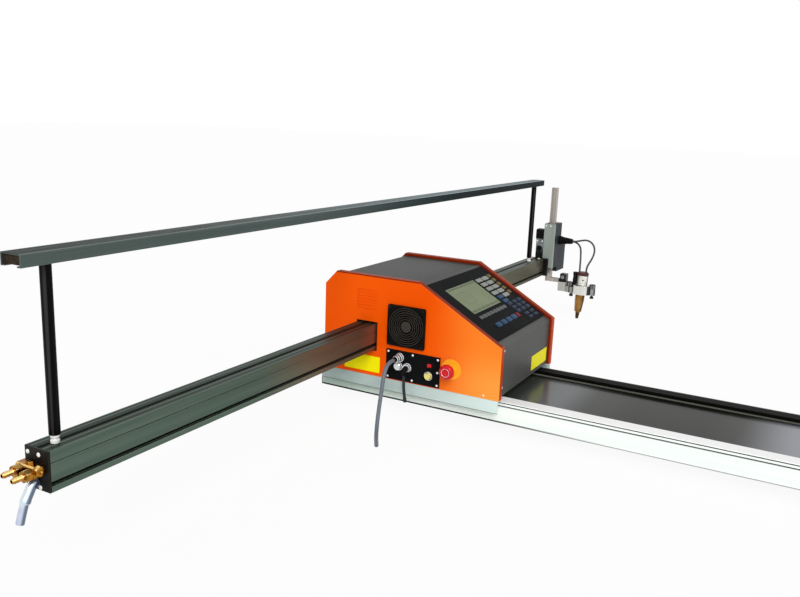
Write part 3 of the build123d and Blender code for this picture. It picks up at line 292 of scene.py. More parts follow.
def new_group(name, inputs, outputs):
    """A shader node group with named sockets: its tree, what it is given and its output node."""
    tree = bpy.data.node_groups.new(name, "ShaderNodeTree")
    for direction, sockets in (("INPUT", inputs), ("OUTPUT", outputs)):
        for label, kind in sockets.items():
            tree.interface.new_socket(label, in_out=direction, socket_type="NodeSocket" + kind)
    given = tree.nodes.new("NodeGroupInput").outputs
    return tree, given, tree.nodes.new("NodeGroupOutput")


def grain_group():
    """Soft clouds and a fine grain, both drawn out by Stretch."""
    inputs = {"Stretch": "Vector", "Cloud Scale": "Float", "Grain Scale": "Float"}
    tree, given, out = new_group("surface_grain", inputs, {"Cloud": "Float", "Grain": "Float"})
    place = add(tree, "Mapping", {"Vector": object_place(tree), "Scale": given["Stretch"]})[0]
    cloud = noise(tree, place, given["Cloud Scale"], 4.0)
    feed(out, {"Cloud": cloud, "Grain": noise(tree, place, given["Grain Scale"], 3.0)})
    return tree


def band_group():
    """1 where a place lies between two limits, with a soft edge."""
    inputs = {"Place": "Float", "Low": "Float", "High": "Float", "Edge": "Float"}
    tree, given, out = new_group("band", inputs, {"Mask": "Float"})
    above = work(tree, "SUBTRACT", given["Place"], given["Low"])
    below = work(tree, "SUBTRACT", given["High"], given["Place"])
    nearer = work(tree, "MINIMUM", above, below)
    edge = work(tree, "DIVIDE", nearer, given["Edge"])
    feed(out, {"Mask": ramp(tree, edge, -0.5, 0.5)})
    return tree


def soft_edge_group():
    """Eased edges: the rounded normal within Radius of an edge, and a mask of those edges."""
    tree, given, out = new_group("soft_edge", {"Radius": "Float"}, {"Normal": "Vector", "Mask": "Float"})
    rounded = add(tree, "Bevel", {"Radius": given["Radius"]}, samples=6)[0]
    lean = dot(tree, rounded, add(tree, "NewGeometry")["Normal"])
    feed(out, {"Normal": rounded, "Mask": ramp(tree, lean, 0.99, 0.8)})
    return tree


def facing_group():
    """How far a surface faces a direction: 0 to 1 while its normal along it goes from Low to High."""
    inputs = {"Direction": "Vector", "Low": "Float", "High": "Float"}
    tree, given, out = new_group("facing", inputs, {"Mask": "Float"})
    lean = dot(tree, add(tree, "NewGeometry")["Normal"], given["Direction"])
    feed(out, {"Mask": ramp(tree, lean, given["Low"], given["High"])})
    return tree


GRAIN = grain_group()
BAND = band_group()
SOFT_EDGE = soft_edge_group()
FACING = facing_group()
EVEN = (1.0, 1.0, 1.0)
ALONG_X = (0.02, 1.0, 1.0)
ALONG_Y = (1.0, 0.02, 1.0)
ALONG_Z = (1.0, 1.0, 0.03)


def surface(
    name, colour, other, rough=(0.4, 0.5), metal=0, stretch=EVEN, cloud=9, grain=700, height=0.02,
    edge=0.7, worn=None, gloss=0.2, coat=0,
):
    """A finish whose tone drifts between two display colours in clouds, with a fine grain that also
    moves its gloss, and eased edges, on which a worn colour may show."""
    material = bpy.data.materials.new(name)
    material.use_nodes = True
    tree = material.node_tree
    scales = {"Stretch": stretch, "Cloud Scale": cloud, "Grain Scale": grain}
    texture = add(tree, "Group", scales, node_tree=GRAIN)
    easing = add(tree, "Group", {"Radius": edge * MM}, node_tree=SOFT_EDGE)
    paint = mix(tree, ramp(tree, texture["Cloud"], 0.3, 0.7), tone(*colour), tone(*other))
    if worn:
        rubbed = work(tree, "MULTIPLY", easing["Mask"], ramp(tree, texture["Grain"], 0.3, 0.6))
        paint = mix(tree, rubbed, paint, tone(*worn))
    bump = {"Height": texture["Grain"], "Strength": height, "Distance": MM, "Normal": easing["Normal"]}
    sockets = {
        "Base Color": paint, "Roughness": ramp(tree, texture["Grain"], 0.3, 0.7, *rough),
        "Normal": add(tree, "Bump", bump)[0], "Metallic": metal, "Specular IOR Level": gloss,
        "Coat Weight": coat,
    }
    feed(tree.nodes["Principled BSDF"], sockets)
    return material


# Masks. Each one is a function that makes the mask's nodes in a finish's tree.


def between(axis, low, high, edge=0.5):
    """Mask of what lies between two host places on one axis, or along a direction, with a soft edge."""
    direction = np.eye(3)[axis] if isinstance(axis, int) else axis
    start = float(HOST @ direction)

    def mask(tree):
        place = dot(tree, object_place(tree), direction.tolist())
        limits = {"Place": place, "Low": low * MM + start, "High": high * MM + start, "Edge": edge * MM}
        return add(tree, "Group", limits, node_tree=BAND)["Mask"]

    return mask


def facing(direction, low, high):
    """Mask of what faces a direction, from low, 0, to high, 1."""
    limits = {"Direction": unit(direction).tolist(), "Low": low, "High": high}
    return lambda tree: add(tree, "Group", limits, node_tree=FACING)["Mask"]


def all_of(tree, masks):
    """The product of some masks."""
    share = masks[0](tree)
    for mask in masks[1:]:
        share = work(tree, "MULTIPLY", share, mask(tree))
    return share


def lay(material, colour, *masks):
    """Lays a display colour over a finish where all the masks are 1."""
    tree = material.node_tree
    shader = tree.nodes["Principled BSDF"]
    below = shader.inputs["Base Color"].links[0].from_socket
    feed(shader, {"Base Color": mix(tree, all_of(tree, masks), below, tone(*colour))})


def polish(material, rough, *masks):
    """Gives a finish another roughness where all the masks are 1."""
    tree = material.node_tree
    shader = tree.nodes["Principled BSDF"]
    below = shader.inputs["Roughness"].links[0].from_socket
    sides = {0: all_of(tree, masks), 2: below, 3: rough}
    feed(shader, {"Roughness": add(tree, "Mix", sides, data_type="FLOAT")[0]})


def tint_edges(material, colour):
    """Gives what a metal shows at a glancing angle a linear colour."""
    feed(material.node_tree.nodes["Principled BSDF"], {"Specular Tint": colour})


# Finishes. Some of their light and shade is painted, by place or by the way a surface faces.
TOWARDS_LIGHT = (0.36, -0.93, 0)
POST_LIGHT = (0.571, -0.819, 0)
LOBE_LIGHT = (0.2, -0.98, 0)
BRASS_LIGHT = (0.5, -0.6, 0.62)
RIGHT_FLANK = (0.88, 0.475, 0)
LEFT_FLANK = (-0.88, -0.475, 0)


def orange_paint():
    """Bright orange gloss paint, with a painted highlight that makes it paler towards its right and lower
    right, and painted shade in red-brown on the folded rims and along the front plate's top edge.
    """
    paint = surface(
        "orange_paint", (249, 91, 1), (242, 83, 0), (0.34, 0.42), cloud=3, grain=500, height=0.015, edge=1.2,
        worn=(196, 66, 14), gloss=0.05,
    )
    # Painted highlight: paler towards the right, and more so low on the right.
    lay(paint, (255, 133, 40), between(0, 378, 1200, 170))
    lay(paint, (255, 160, 66), between(0, 410, 1200, 200), between(2, -200, 80, 110))
    # Painted shade in red-brown on the folded rims and along the front plate's top edge, lighter on the
    # right-hand rims.
    rim = between(1, 2.2, 387.8, 1.2)
    lay(paint, (128, 36, 6), rim)
    lay(paint, (146, 46, 10), between(2, 258.4, 275, 1.4))
    lay(paint, (184, 58, 14), rim, between(0, 496, 1200, 0.8))
    return paint


def rail_metal():
    """Pale anodised running strips with two scribed grooves and a glossy floor between them. Painted shade
    darkens the grooves, the sides under the host, the foot, and the far strip with the floor beside it,
    which also carry a painted dark reflection; painted highlights whiten the near strip's top and light the
    far strip's foot and outer edge, and painted reflections lie along the floor."""
    metal = surface(
        "rail_metal", (243, 252, 246), (250, 255, 251), (0.34, 0.46), metal=0.05, stretch=ALONG_X, cloud=60,
        grain=420, edge=0.6, gloss=0.08,
    )
    foot, recess, strip, above = -70, -21.5, -9.5, 20
    near_edge, far_edge, far_side = 66, 324, 362
    past_side = far_side + 4
    top = between(2, recess, above, 0.4)
    floor = between(2, recess, recess + 3, 0.4)
    strip_top = between(2, strip, above, 0.6)
    # Painted highlight on the near strip's top.
    lay(metal, (255, 255, 255), between(1, -40, near_edge, 1), strip_top)
    # Painted dark reflection on the floor between the strips, with lighter and darker painted reflections
    # along it and a painted highlight beside the near strip.
    lay(metal, (56, 59, 54), between(1, near_edge, far_side, 1), top)
    lay(metal, (104, 108, 110), floor, between(0, 535, 640, 90))
    lay(metal, (26, 27, 22), floor, between(0, 730, 1000, 140))
    lay(metal, (148, 149, 155), floor, between(0, 1080, 1300, 140))
    lay(metal, (190, 192, 190), floor, between(1, near_edge - 60, near_edge + 16, 28))
    # Painted shade and dark reflection on the far strip and the floor beside it, with painted highlights at
    # the strip's foot and outer edge.
    lay(metal, (12, 12, 10), between(1, 304, past_side, 34), top)
    lay(metal, (14, 13, 12), between(1, far_edge + 2, past_side, 2), strip_top)
    lay(
        metal, (104, 104, 96), between(1, far_edge - 3, far_edge + 1, 1),
        between(2, recess, recess + 4.3, 0.4),
    )
    lay(metal, (130, 130, 128), between(1, far_side - 4, past_side, 2), top)
    polish(metal, 0.16, between(1, near_edge, far_edge, 1), top)
    polish(metal, 0.7, between(1, far_edge, past_side, 1), strip_top)
    # Painted shade in the scribed grooves on both sides.
    for low, high in ((0, near_edge - 30), (far_side - 3, 400)):
        side = between(1, low, high, 1)
        for line in (-11.5, -19):
            lay(metal, (58, 64, 60), side, between(2, line - 1.2, line + 1.2, 0.4))
    # Painted shade on the sides under the host, and a painted shadow along the foot, darkest near the host.
    below_host = between(0, -600, 170, 420)
    lay(metal, (188, 210, 198), below_host, between(2, foot, recess, 0.4))
    lay(metal, (160, 164, 162), between(2, foot, -60.8, 0.6))
    lay(metal, (30, 40, 38), between(2, foot, -58.8, 0.8), between(0, -600, 620, 420))
    return metal


def beam_metal():
    """Grey-green anodised extrusion with a scribed line and a side slot. Painted shade darkens its upper
    face, with painted highlights along two lines on it, and the slot's lips; painted light makes the slot's
    floor lighter. Its flat sides are browner beyond the host and carry a painted warm reflection of the
    orange host near it."""
    metal = surface(
        "beam_metal", (76, 92, 82), (92, 108, 97), (0.3, 0.4), metal=0.75, stretch=ALONG_Y, cloud=60,
        grain=420, edge=0.9, worn=(140, 150, 141),
    )
    tint_edges(metal, (0.6, 0.62, 0.6, 1))
    # Painted shade on the upper face, and painted highlights along two lines on it.
    upper = between(2, 137.6, 145, 0.6)
    lay(metal, (40, 50, 44), between(0, 104, 151, 1.5), upper)
    for line in (112, 139):
        lay(metal, (96, 108, 100), between(0, line - 1.6, line + 1.6, 1), upper)
    side = between(0, 152.5, 160, 0.5)
    lay(metal, (44, 52, 46), between(2, 117.7, 119.3, 0.4), side)
    # Painted light on the slot's floor and painted shade on its lips.
    slot = between(0, 98, 155, 0.6)
    lay(metal, (120, 130, 118), between(2, 80.7, 88.3, 0.4), slot)
    for line in (81.6, 87.4):
        lay(metal, (22, 26, 22), between(2, line - 1.3, line + 1.3, 0.5), slot)
    lay(metal, (26, 30, 26), between(2, 80.7, 81.6, 0.3))
    # Browner beyond the host, and a painted warm reflection of the orange host near it.
    for low, high in ((60, 80), (89, 137)):
        level = between(2, low, high, 0.6)
        lay(metal, (106, 102, 87), between(1, 60, 3000, 500), level)
        lay(metal, (132, 110, 90), between(1, -330, 100, 360), level)
    return metal


def channel_metal():
    """Grey-green rolled channel with paler sides. Painted shade darkens its upper face and its far sides, a
    painted reflection makes the far half of its upper face bluer and lighter, and painted highlights run
    along both its edges."""
    metal = surface(
        "channel_metal", (80, 92, 89), (104, 115, 112), (0.26, 0.42), metal=0.6, stretch=ALONG_Y, cloud=50,
        grain=380, height=0.03, edge=0.8, worn=(150, 160, 154), gloss=0.08,
    )
    tint_edges(metal, (0.22, 0.26, 0.25, 1))
    # Painted shade on the far sides.
    far = between(1, -100, 3000, 1500)
    lay(metal, (38, 47, 50), far, between(2, 400, 443, 0.4))
    # Painted shade on the upper face, and a painted bluer reflection on its far half.
    upper = between(2, 443.4, 450, 0.4)
    lay(metal, (46, 53, 48), between(0, 100, 166, 1), upper)
    lay(metal, (118, 132, 138), far, upper)
    # Painted highlights along both edges of the upper face, brighter on the far half.
    for line in (107.9, 149.1):
        edge = between(0, line - 1.6, line + 1.6, 0.8)
        lay(metal, (128, 138, 136), edge, upper)
        lay(metal, (196, 208, 214), edge, upper, far)
    return metal


def display_glass():
    """Grey-green liquid crystal behind clear glass: a title strip, a row of blank fields, a frame line
    and a plain drawn outline."""
    glass = surface(
        "display_glass", (116, 127, 92), (108, 120, 86), (0.12, 0.18), cloud=14, grain=900, height=0,
        edge=0.3, gloss=0.1,
    )
    start = float(SLOPE_TOP @ SLOPE_DOWN)
    upper, lower = start + 49, start + 146

    def mark(high, low, left, right, edge):
        lay(glass, (86, 96, 70), between(SLOPE_DOWN, high, low, edge), between(1, left, right, edge))

    mark(upper + 2, upper + 9, 75, 240, 0.6)
    for left in np.arange(6) * 27.6 + 76:
        mark(lower - 11, lower - 3, left, left + 25, 0.5)
    for left in (96, 150):
        mark(upper + 24, upper + 66, left, left + 1, 0.4)
    for high in (24, 65):
        mark(upper + high, upper + high + 1, 96, 151, 0.4)
    return glass


def clamp_metal():
    """Bright plated clamp ring with dark lobes on both sides, paler where they face the light."""
    metal = surface(
        "clamp_plating", (218, 218, 212), (226, 226, 221), (0.16, 0.24), metal=0.7, cloud=4, height=0.01,
        edge=0.8, worn=(236, 236, 232),
    )
    for low, high in ((200, 278), (334, 400)):
        lobe = between(0, low, high, 3)
        lay(metal, (58, 58, 58), lobe)
        lay(metal, (158, 158, 155), lobe, facing(LOBE_LIGHT, 0.8, 0.97))
    return metal


ORANGE = orange_paint()
RAIL = rail_metal()
BEAM = beam_metal()
CHANNEL = channel_metal()
DISPLAY = display_glass()
CLAMP = clamp_metal()

# Dark grey satin sheet with a very fine upright brush grain, with painted shade on top, most of it to the
# right.
COVER = surface(
    "cover_paint", (76, 77, 74), (82, 83, 80), metal=0.1, stretch=(1, 1, 0.2), cloud=6, height=0.015, edge=1,
    worn=(112, 114, 112), gloss=0.1,
)
COVER_TOP = facing(Z, 0.95, 0.99)
lay(COVER, (54, 56, 54), COVER_TOP)
lay(COVER, (36, 38, 36), COVER_TOP, between(0, 260, 1200, 170))

# Pale blue-green galvanised strip, with painted light towards its right end and a thin painted shadow line
# near its lower edge.
SKIRT = surface(
    "skirt_metal", (142, 162, 158), (192, 209, 205), (0.36, 0.5), metal=0.15, stretch=(0.1, 1, 0.3),
    cloud=30, grain=360, edge=0.5, worn=(206, 222, 220),
)
lay(SKIRT, (222, 240, 236), between(0, 400, 1200, 330))
lay(SKIRT, (84, 94, 92), between(2, -34, -30.8, 0.5))

# Pale cast arm block with a blackened upper half.
ARM = surface(
    "arm_metal", (172, 172, 166), (188, 188, 182), (0.3, 0.42), metal=0.4, cloud=5, edge=0.8,
    worn=(218, 218, 214),
)
lay(ARM, (34, 34, 35), between(2, 50, 90, 0.8))

# Silver-grey cast bracket, darker in its lower half.
BRACKET = surface(
    "bracket_casting", (128, 137, 138), (88, 97, 99), (0.3, 0.44), metal=0.4, cloud=40, height=0.04,
    edge=0.8, worn=(190, 196, 194), gloss=0.1,
)
lay(BRACKET, (24, 28, 28), between(2, 60, 174, 34))

# Black enamel with a pale sheen along the side that faces the light.
POST = surface(
    "black_enamel", (4, 3, 3), (8, 6, 6), (0.34, 0.44), stretch=ALONG_Z, cloud=40, grain=500, height=0,
    worn=(36, 34, 33), gloss=0.06,
)
lay(POST, (50, 48, 46), facing(POST_LIGHT, 0.92, 0.99))

# Cast brass, pale gold where it faces the light and brown where it faces down or away.
BRASS = surface(
    "brass", (190, 136, 52), (138, 86, 24), (0.16, 0.26), metal=1, cloud=90, grain=900, height=0.01,
    edge=0.3, worn=(244, 216, 146),
)
lay(BRASS, (84, 44, 8), facing(BRASS_LIGHT, 0.3, 0))
lay(BRASS, (250, 224, 150), facing(BRASS_LIGHT, 0.72, 0.92))

# Plain finishes, and those with a little painted light or shade.
BEARER = surface("bearer_rubber", (26, 26, 27), (38, 38, 39), (0.6, 0.8), grain=900, height=0.1, gloss=0.1)
STEEL = surface(
    "machined_steel", (128, 130, 132), (148, 149, 150), (0.3, 0.42), metal=0.85, worn=(190, 190, 190),
)
PANEL = surface(
    "panel_black", (12, 12, 13), (19, 20, 21), (0.46, 0.56), grain=1400, height=0.04, worn=(60, 62, 62),
    gloss=0.02,
)
SUPPLY = surface("supply_metal", (150, 154, 156), (168, 171, 172), metal=0.6)
BLACK = surface(
    "black_plastic", (11, 10, 9), (18, 17, 16), (0.4, 0.52), grain=1500, height=0.05, worn=(48, 46, 44),
    gloss=0.06,
)
RIB = surface("grey_ribs", (54, 50, 46), (66, 61, 56), grain=1500, gloss=0.1)
PLUG = surface("brown_plug", (38, 30, 22), (58, 47, 34), (0.5, 0.6), cloud=120, grain=900, gloss=0.1)
RED = surface("red_plastic", (214, 16, 26), (196, 10, 20), (0.2, 0.28), cloud=20, grain=1200, coat=0.15)
YELLOW = surface("yellow_plastic", (252, 178, 38), (246, 166, 28), (0.36, 0.46), grain=1200, gloss=0.15)
PATCH = surface("yellow_sheet", (252, 242, 4), (248, 236, 0), grain=1600, height=0.01, gloss=0.08)
CREAM = surface("cream_plastic", (224, 208, 104), (234, 220, 132), (0.3, 0.4), grain=1200)
PLATE = surface(
    "black_oxide_plate", (20, 18, 17), (30, 28, 26), (0.4, 0.55), metal=0.2, grain=900, height=0.04,
    worn=(84, 84, 80), gloss=0.12,
)
LIFTER = surface(
    "lifter_sheet", (142, 152, 146), (156, 165, 159), (0.36, 0.48), metal=0.15, cloud=6, edge=0.8,
    worn=(206, 210, 206),
)
HOUSING = surface(
    "lifter_housing", (31, 38, 43), (45, 50, 55), (0.42, 0.54), metal=0.1, stretch=ALONG_Z, cloud=60,
    height=0.04, edge=0.9, worn=(96, 98, 102), gloss=0.08,
)
BAR = surface(
    "slide_bar_steel", (154, 148, 140), (182, 176, 168), (0.28, 0.42), metal=0.4, stretch=ALONG_Z, cloud=120,
    grain=900, height=0.03, edge=0.6, worn=(204, 200, 194),
)
CHROME = surface(
    "bright_plating", (204, 206, 208), (216, 218, 220), (0.1, 0.18), metal=0.9, cloud=8, grain=800,
    height=0.01, edge=0.4,
)
SCREW = surface(
    "white_screw", (240, 240, 236), (230, 231, 228), (0.26, 0.36), metal=0.1, cloud=40, height=0.01,
    edge=0.3,
)
PIPE = surface(
    "pale_plated_pipe", (184, 190, 216), (206, 214, 232), (0.1, 0.18), metal=0.8, cloud=40, height=0.01,
)
# Paler on its upper part, with painted shade on both flanks.
lay(PIPE, (214, 228, 234), between(2, 52, 100, 14))
lay(PIPE, (104, 117, 134), facing(RIGHT_FLANK, 0.3, 0.8))
lay(PIPE, (122, 132, 144), facing(LEFT_FLANK, 0.7, 0.95))
TORCH = surface(
    "torch_silver", (222, 219, 213), (230, 228, 222), (0.34, 0.42), metal=0.4, cloud=6, grain=400, height=0,
    edge=0.6, worn=(244, 243, 240),
)
# Painted shade on the flanks that turn away from the light.
lay(TORCH, (128, 126, 124), facing(TOWARDS_LIGHT, 0.86, 0.5))
KNOB = surface(
    "knurled_steel", (38, 38, 39), (50, 50, 50), (0.32, 0.44), metal=0.3, grain=1200, height=0.04,
    worn=(110, 110, 108), gloss=0.1,
)
# Painted highlight where the upper knobs face the light.
lay(KNOB, (146, 146, 143), facing(TOWARDS_LIGHT, 0.86, 0.98), between(2, 20, 80, 1))
TORCH_RED = surface(
    "torch_cap_enamel", (92, 54, 52), (70, 40, 40), (0.34, 0.46), metal=0.1, cloud=30, grain=900,
    worn=(160, 104, 92), gloss=0.15,
)
NOZZLE = surface(
    "heated_brass", (176, 132, 70), (98, 64, 28), (0.28, 0.44), metal=0.7, stretch=(1, 1, 0.3), cloud=70,
    grain=800, height=0.03, worn=(206, 164, 96),
)
# Painted shade on the right flank, and darker towards the tip.
lay(NOZZLE, (74, 50, 24), facing(RIGHT_FLANK, 0.15, 0.7))
lay(NOZZLE, (62, 44, 30), between(2, -100, -62, 14))
CABLE = surface("grey_sheath", (104, 112, 120), (118, 126, 134), (0.42, 0.54), grain=1100, height=0.05)
LEAD = surface("black_sheath", (28, 32, 37), (40, 44, 49), (0.42, 0.54), grain=1100, height=0.05)
HOSE = surface("hose_rubber", (62, 66, 70), (80, 84, 87), (0.36, 0.5), grain=1300, height=0.06)
KEYS = {
    name: surface(name + "_keys", colour, other, grain=1500, gloss=0.08)
    for name, colour, other in (
        ("pale", (132, 136, 130), (146, 148, 142)), ("sand", (114, 100, 60), (102, 88, 50)),
        ("grey", (82, 85, 84), (94, 96, 95)), ("blue", (34, 62, 92), (44, 74, 104)),
        ("slate", (28, 36, 56), (38, 47, 67)), ("red", (130, 24, 28), (118, 20, 24)),
    )
}


def dress_solids():
    """A finish for each CAD node, also for those that show only through a gap or in a pose."""
    rollers = "low_front_roller low_rear_roller high_front_roller high_rear_roller"
    drives = "rail_rack beam_rack left_wheelset right_wheelset x_pinion y_pinion lift_pinion"
    for finish, names in (
        (STEEL, "rail_end_caps carriage_base bearing_frames arm_fasteners " + drives + " " + rollers),
        (BLACK, "controller_unit fan_guard fan_rotor drive_motors lift_motor hose_gland"),
        (ORANGE, "front_side_plate rear_side_plate"), (PANEL, "control_panel socket_panel"),
        (BRASS, "gas_manifold hose_tails"), (RED, "estop_head power_rocker"), (CREAM, "start_button"),
        (CABLE, "control_cable control_plug"), (LEAD, "signal_lead lead_plug"), (YELLOW, "estop_base"),
        (HOSE, "torch_hose_near torch_hose_far"), (RAIL, "rail_profile"), (BEARER, "rail_bearers"),
        (COVER, "cover_shell"), (SKIRT, "side_skirts"), (DISPLAY, "display_lens"), (SUPPLY, "power_supply"),
        (PLATE, "beam_end_plates"), (BRACKET, "lifter_bracket"), (BEAM, "beam_profile"),
        (PIPE, "supply_pipe"), (CHANNEL, "hanger_channel"), (POST, "hanger_posts"),
        (LIFTER, "lifter_front_plate"), (HOUSING, "lifter_housing"), (BAR, "slide_bar"), (ARM, "arm_block"),
        (CLAMP, "clamp_ring"), (TORCH, "torch_body"), (TORCH_RED, "torch_cap"), (NOZZLE, "torch_nozzle"),
        (CHROME, "cable_sockets"),
    ):
        for name in names.split():
            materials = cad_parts[name].data.materials
            materials.clear()
            materials.append(finish)


# Cords. The routes are lists of host places.
CONTROL_ROUTE = [
    (230, -38, 64), (230, -56, 64), (231.5, -74, 58), (234.5, -89, 45), (237, -99, 26.5), (237.5, -105, 3),
    (237, -110, -22), (238.5, -118, -46), (243.5, -131, -67.5), (253, -150, -81.5), (266, -173, -87.8),
    (280, -196, -87.8),
]
SIGNAL_ROUTE = [(252, -20, 25), (252, -20, 8), (254.5, -22.5, -13), (258, -22, -34)]
NEAR_HOSE_ROUTE = [
    (238, 1372.5, 205), (250, 1372.5, 205), (263.5, 1370.5, 200.5), (274, 1367, 191.5), (281, 1361.5, 179),
    (286.5, 1348.5, 152), (291.5, 1333, 118), (291.5, 1333, 98.4),
]
FAR_HOSE_ROUTE = [
    (238, 1363.5, 207), (256, 1363.5, 207), (279, 1361.5, 214), (303, 1357, 219), (325, 1350.5, 212),
    (339, 1344, 195), (341, 1339, 172), (334, 1335, 149), (323, 1331.5, 128), (318, 1331, 112),
    (318, 1331, 96.8),
]
CONTROL_RADIUS, SIGNAL_RADIUS, HOSE_RADIUS = 5, 3.8, 3.5
GLAND_MOUTH, TORCH_TOP = (238, 1368, 206), (308, 1331, 97)

# A free end's plug: shares of its length and of its radius.
CORD_PLUG = [
    (0, 0.93), (0.05, 1), (0.3, 1), (0.34, 0.86), (0.42, 0.86), (0.46, 1), (0.94, 1), (1, 0.86), (1, 0.5),
    (0.8, 0.5),
]


def route_curve(name, route):
    """A smooth line with the route's points as its control points."""
    curve = bpy.data.curves.new(name, "CURVE")
    curve.dimensions = "3D"
    curve.resolution_u = 12
    line = curve.splines.new("NURBS")
    line.points.add(len(route) - 1)
    places = np.column_stack([at(*np.array(route, float).T), np.ones(len(route))])
    line.points.foreach_set("co", places.astype(np.float32).ravel())
    line.order_u = 3
    line.use_endpoint_u = True
    return curve


def carriage_cord(name, route, radius, finish, node):
    """A cord that hangs from the host, as a bevelled curve on the carriage."""
    curve = route_curve(name, route)
    curve.bevel_depth = radius * MM
    curve.bevel_resolution = 6
    curve.use_fill_caps = True
    curve.materials.append(finish)
    cord = linked(name, curve)
    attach(cord, "carriage")
    exit_place = at(*route[0]).tolist()
    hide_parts(node)


def torch_hose(name, route, node):
    """A hose from the lifter's gland to the torch's cap, as a tube along its route."""
    curve = route_curve(name + "_line", route)
    holder = bpy.data.objects.new(name + "_line", curve)
    line = bpy.data.meshes.new_from_object(holder)
    points = np.array([vertex.co for vertex in line.vertices])
    bpy.data.objects.remove(holder)
    bpy.data.meshes.remove(line)
    hose = mesh_object(name, [tube((points - HOST) / MM, HOSE_RADIUS, Y)], HOSE)
    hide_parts(node)
    at(*GLAND_MOUTH).tolist()
    at(*TORCH_TOP).tolist()
    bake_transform(hose)


def cord_plug(name, route, finish, node, radius, length):
    """A free end's round plug: a collar, a waist and a rounded tip along the route's last run."""
    last, before = np.array(route[-1], float), np.array(route[-2], float)
    body = np.array(CORD_PLUG) * (length, radius)
    return lathe(name, "carriage", finish, last, last - before, body, [node])


def cords():
    """The control cable, the signal lead and the two torch hoses."""
    plug = cord_plug("control_cable_plug", CONTROL_ROUTE, CABLE, "control_plug", radius=5, length=16)
    carriage_cord(
        "control_cord", CONTROL_ROUTE, CONTROL_RADIUS, CABLE,
        "control_cable",
    )
    plug = cord_plug("signal_lead_plug", SIGNAL_ROUTE, LEAD, "lead_plug", radius=4.6, length=10)
    carriage_cord(
        "signal_cord", SIGNAL_ROUTE, SIGNAL_RADIUS, LEAD, "signal_lead",
    )
    torch_hose("near_hose", NEAR_HOSE_ROUTE, "torch_hose_near")
    torch_hose("far_hose", FAR_HOSE_ROUTE, "torch_hose_far")


# Control panel.


def lattice(first, second):
    """Every pair of two lists of places, as two flat arrays."""
    one, two = np.meshgrid(first, second, indexing="ij")
    return one.ravel().astype(float), two.ravel().astype(float)


def panel_keys():
    """Membrane keys as low pillows in the panel's groups: each group's places down the slope and across
    it, and its keys' size."""
    rows = [(0, -0.5), (0, 0.9), (0.4, 1.5), (1.2, 1.9)]
    number_down, number_across = lattice([57, 75.5, 94, 112.5], [271, 311])
    for name, look, down, across, size in (
        ("number_keys", "pale", np.append(number_down, 131), np.append(number_across, 311), (13, 34)),
        ("letter_keys", "sand", np.linspace(54, 126, 5), 345, (12, 17)),
        ("mode_keys", "blue", [131, 148], [271, 274], (12, 30)),
        ("function_keys", "grey", 163, np.linspace(82, 233, 8), (11, 17.5)),
        ("drive_keys", "blue", 202, np.linspace(115, 219, 4), (15, 27)),
        ("stop_key", "red", 202, 247, (15, 15)),
        ("arrow_keys", "slate", *lattice([162, 177, 192], [274, 308, 342]), (11.5, 26)),
        ("speed_keys", "slate", *lattice([210, 224], [296, 334]), (9, 28)),
    ):
        pillows = plates(on_slope(down, across, PANEL_FACE), size, rows, 2.5, SLOPE_DOWN, Y, 0.3)
        piece(name, "carriage", KEYS[look], pillows)


def screws(name, body, places, axis, radius, finish=SCREW):
    """Round-headed screws, sunk by 1: a dome r = R * cos v, h = 0.55 R * sin v, with a dished middle."""
    rise = np.linspace(0, 0.8, 6) * np.pi / 2
    dome = [(-1, radius), *zip(0.55 * radius * np.sin(rise), radius * np.cos(rise))]
    dome += [(0.42 * radius, 0.22 * radius), (0.2 * radius, 0.18 * radius)]
    lathe(name, body, finish, places, axis, dome, columns=24)


# Host.


def fan_grille():
    """The fan's moulded grille: a square face with a wide round opening, fine ribs in rings, four spokes
    behind them and a hub plate, and the fan's own frame behind the side plate."""
    x, z = 244.5, 145
    middle = (x, 0, z)
    face_rows = [
        (0.02, 0), (0, -0.8), (0, -5.5), (0.04, -7.4), (0.12, -8), (0.82, -8), (0.95, -7.4), (1, -6), (1, 0),
    ]
    face = square_ring(middle, 105, 5, 50.5, face_rows, columns=144)
    frame_rows = [(0, 26), (0, 3), (0.06, 2), (1, 2), (1, 27), (0.06, 27)]
    duct = square_ring(middle, 92, 10, 43, frame_rows)
    rings = []
    for radius in np.linspace(19.5, 48, 6):
        rings.append(turned((x, -5.8, z), Y, wire(radius, 1.1), columns=96, shut=False))
    steps = np.linspace(10, 50.6, 6)
    spokes = []
    for turn in np.arange(4) * np.pi / 2 + np.pi / 4:
        spokes.append(tube(spots(x + steps * np.cos(turn), -3.8, z + steps * np.sin(turn)), 1.2, Y))
    lip = [(0, 42.6), (1.4, 42.6), (1.4, 51.4), (0, 51.4), (0, 42.6)]
    grille = (face, duct, turned(middle, -Y, lip, columns=96, shut=False), *spokes)
    piece("fan_grille", "carriage", BLACK, *grille, replaces=["fan_guard"])
    hub = [(2, 13.5), (6.2, 14.5), (7.4, 13.6), (7.8, 11), (7.2, 6)]
    piece("fan_ribs", "carriage", RIB, *rings, turned(middle, -Y, hub))
    across, up = lattice((x - 46, x + 46), (z - 46, z + 46))
    screws("fan_screws", "carriage", spots(across, -8, up), -Y, 2.6, PLATE)


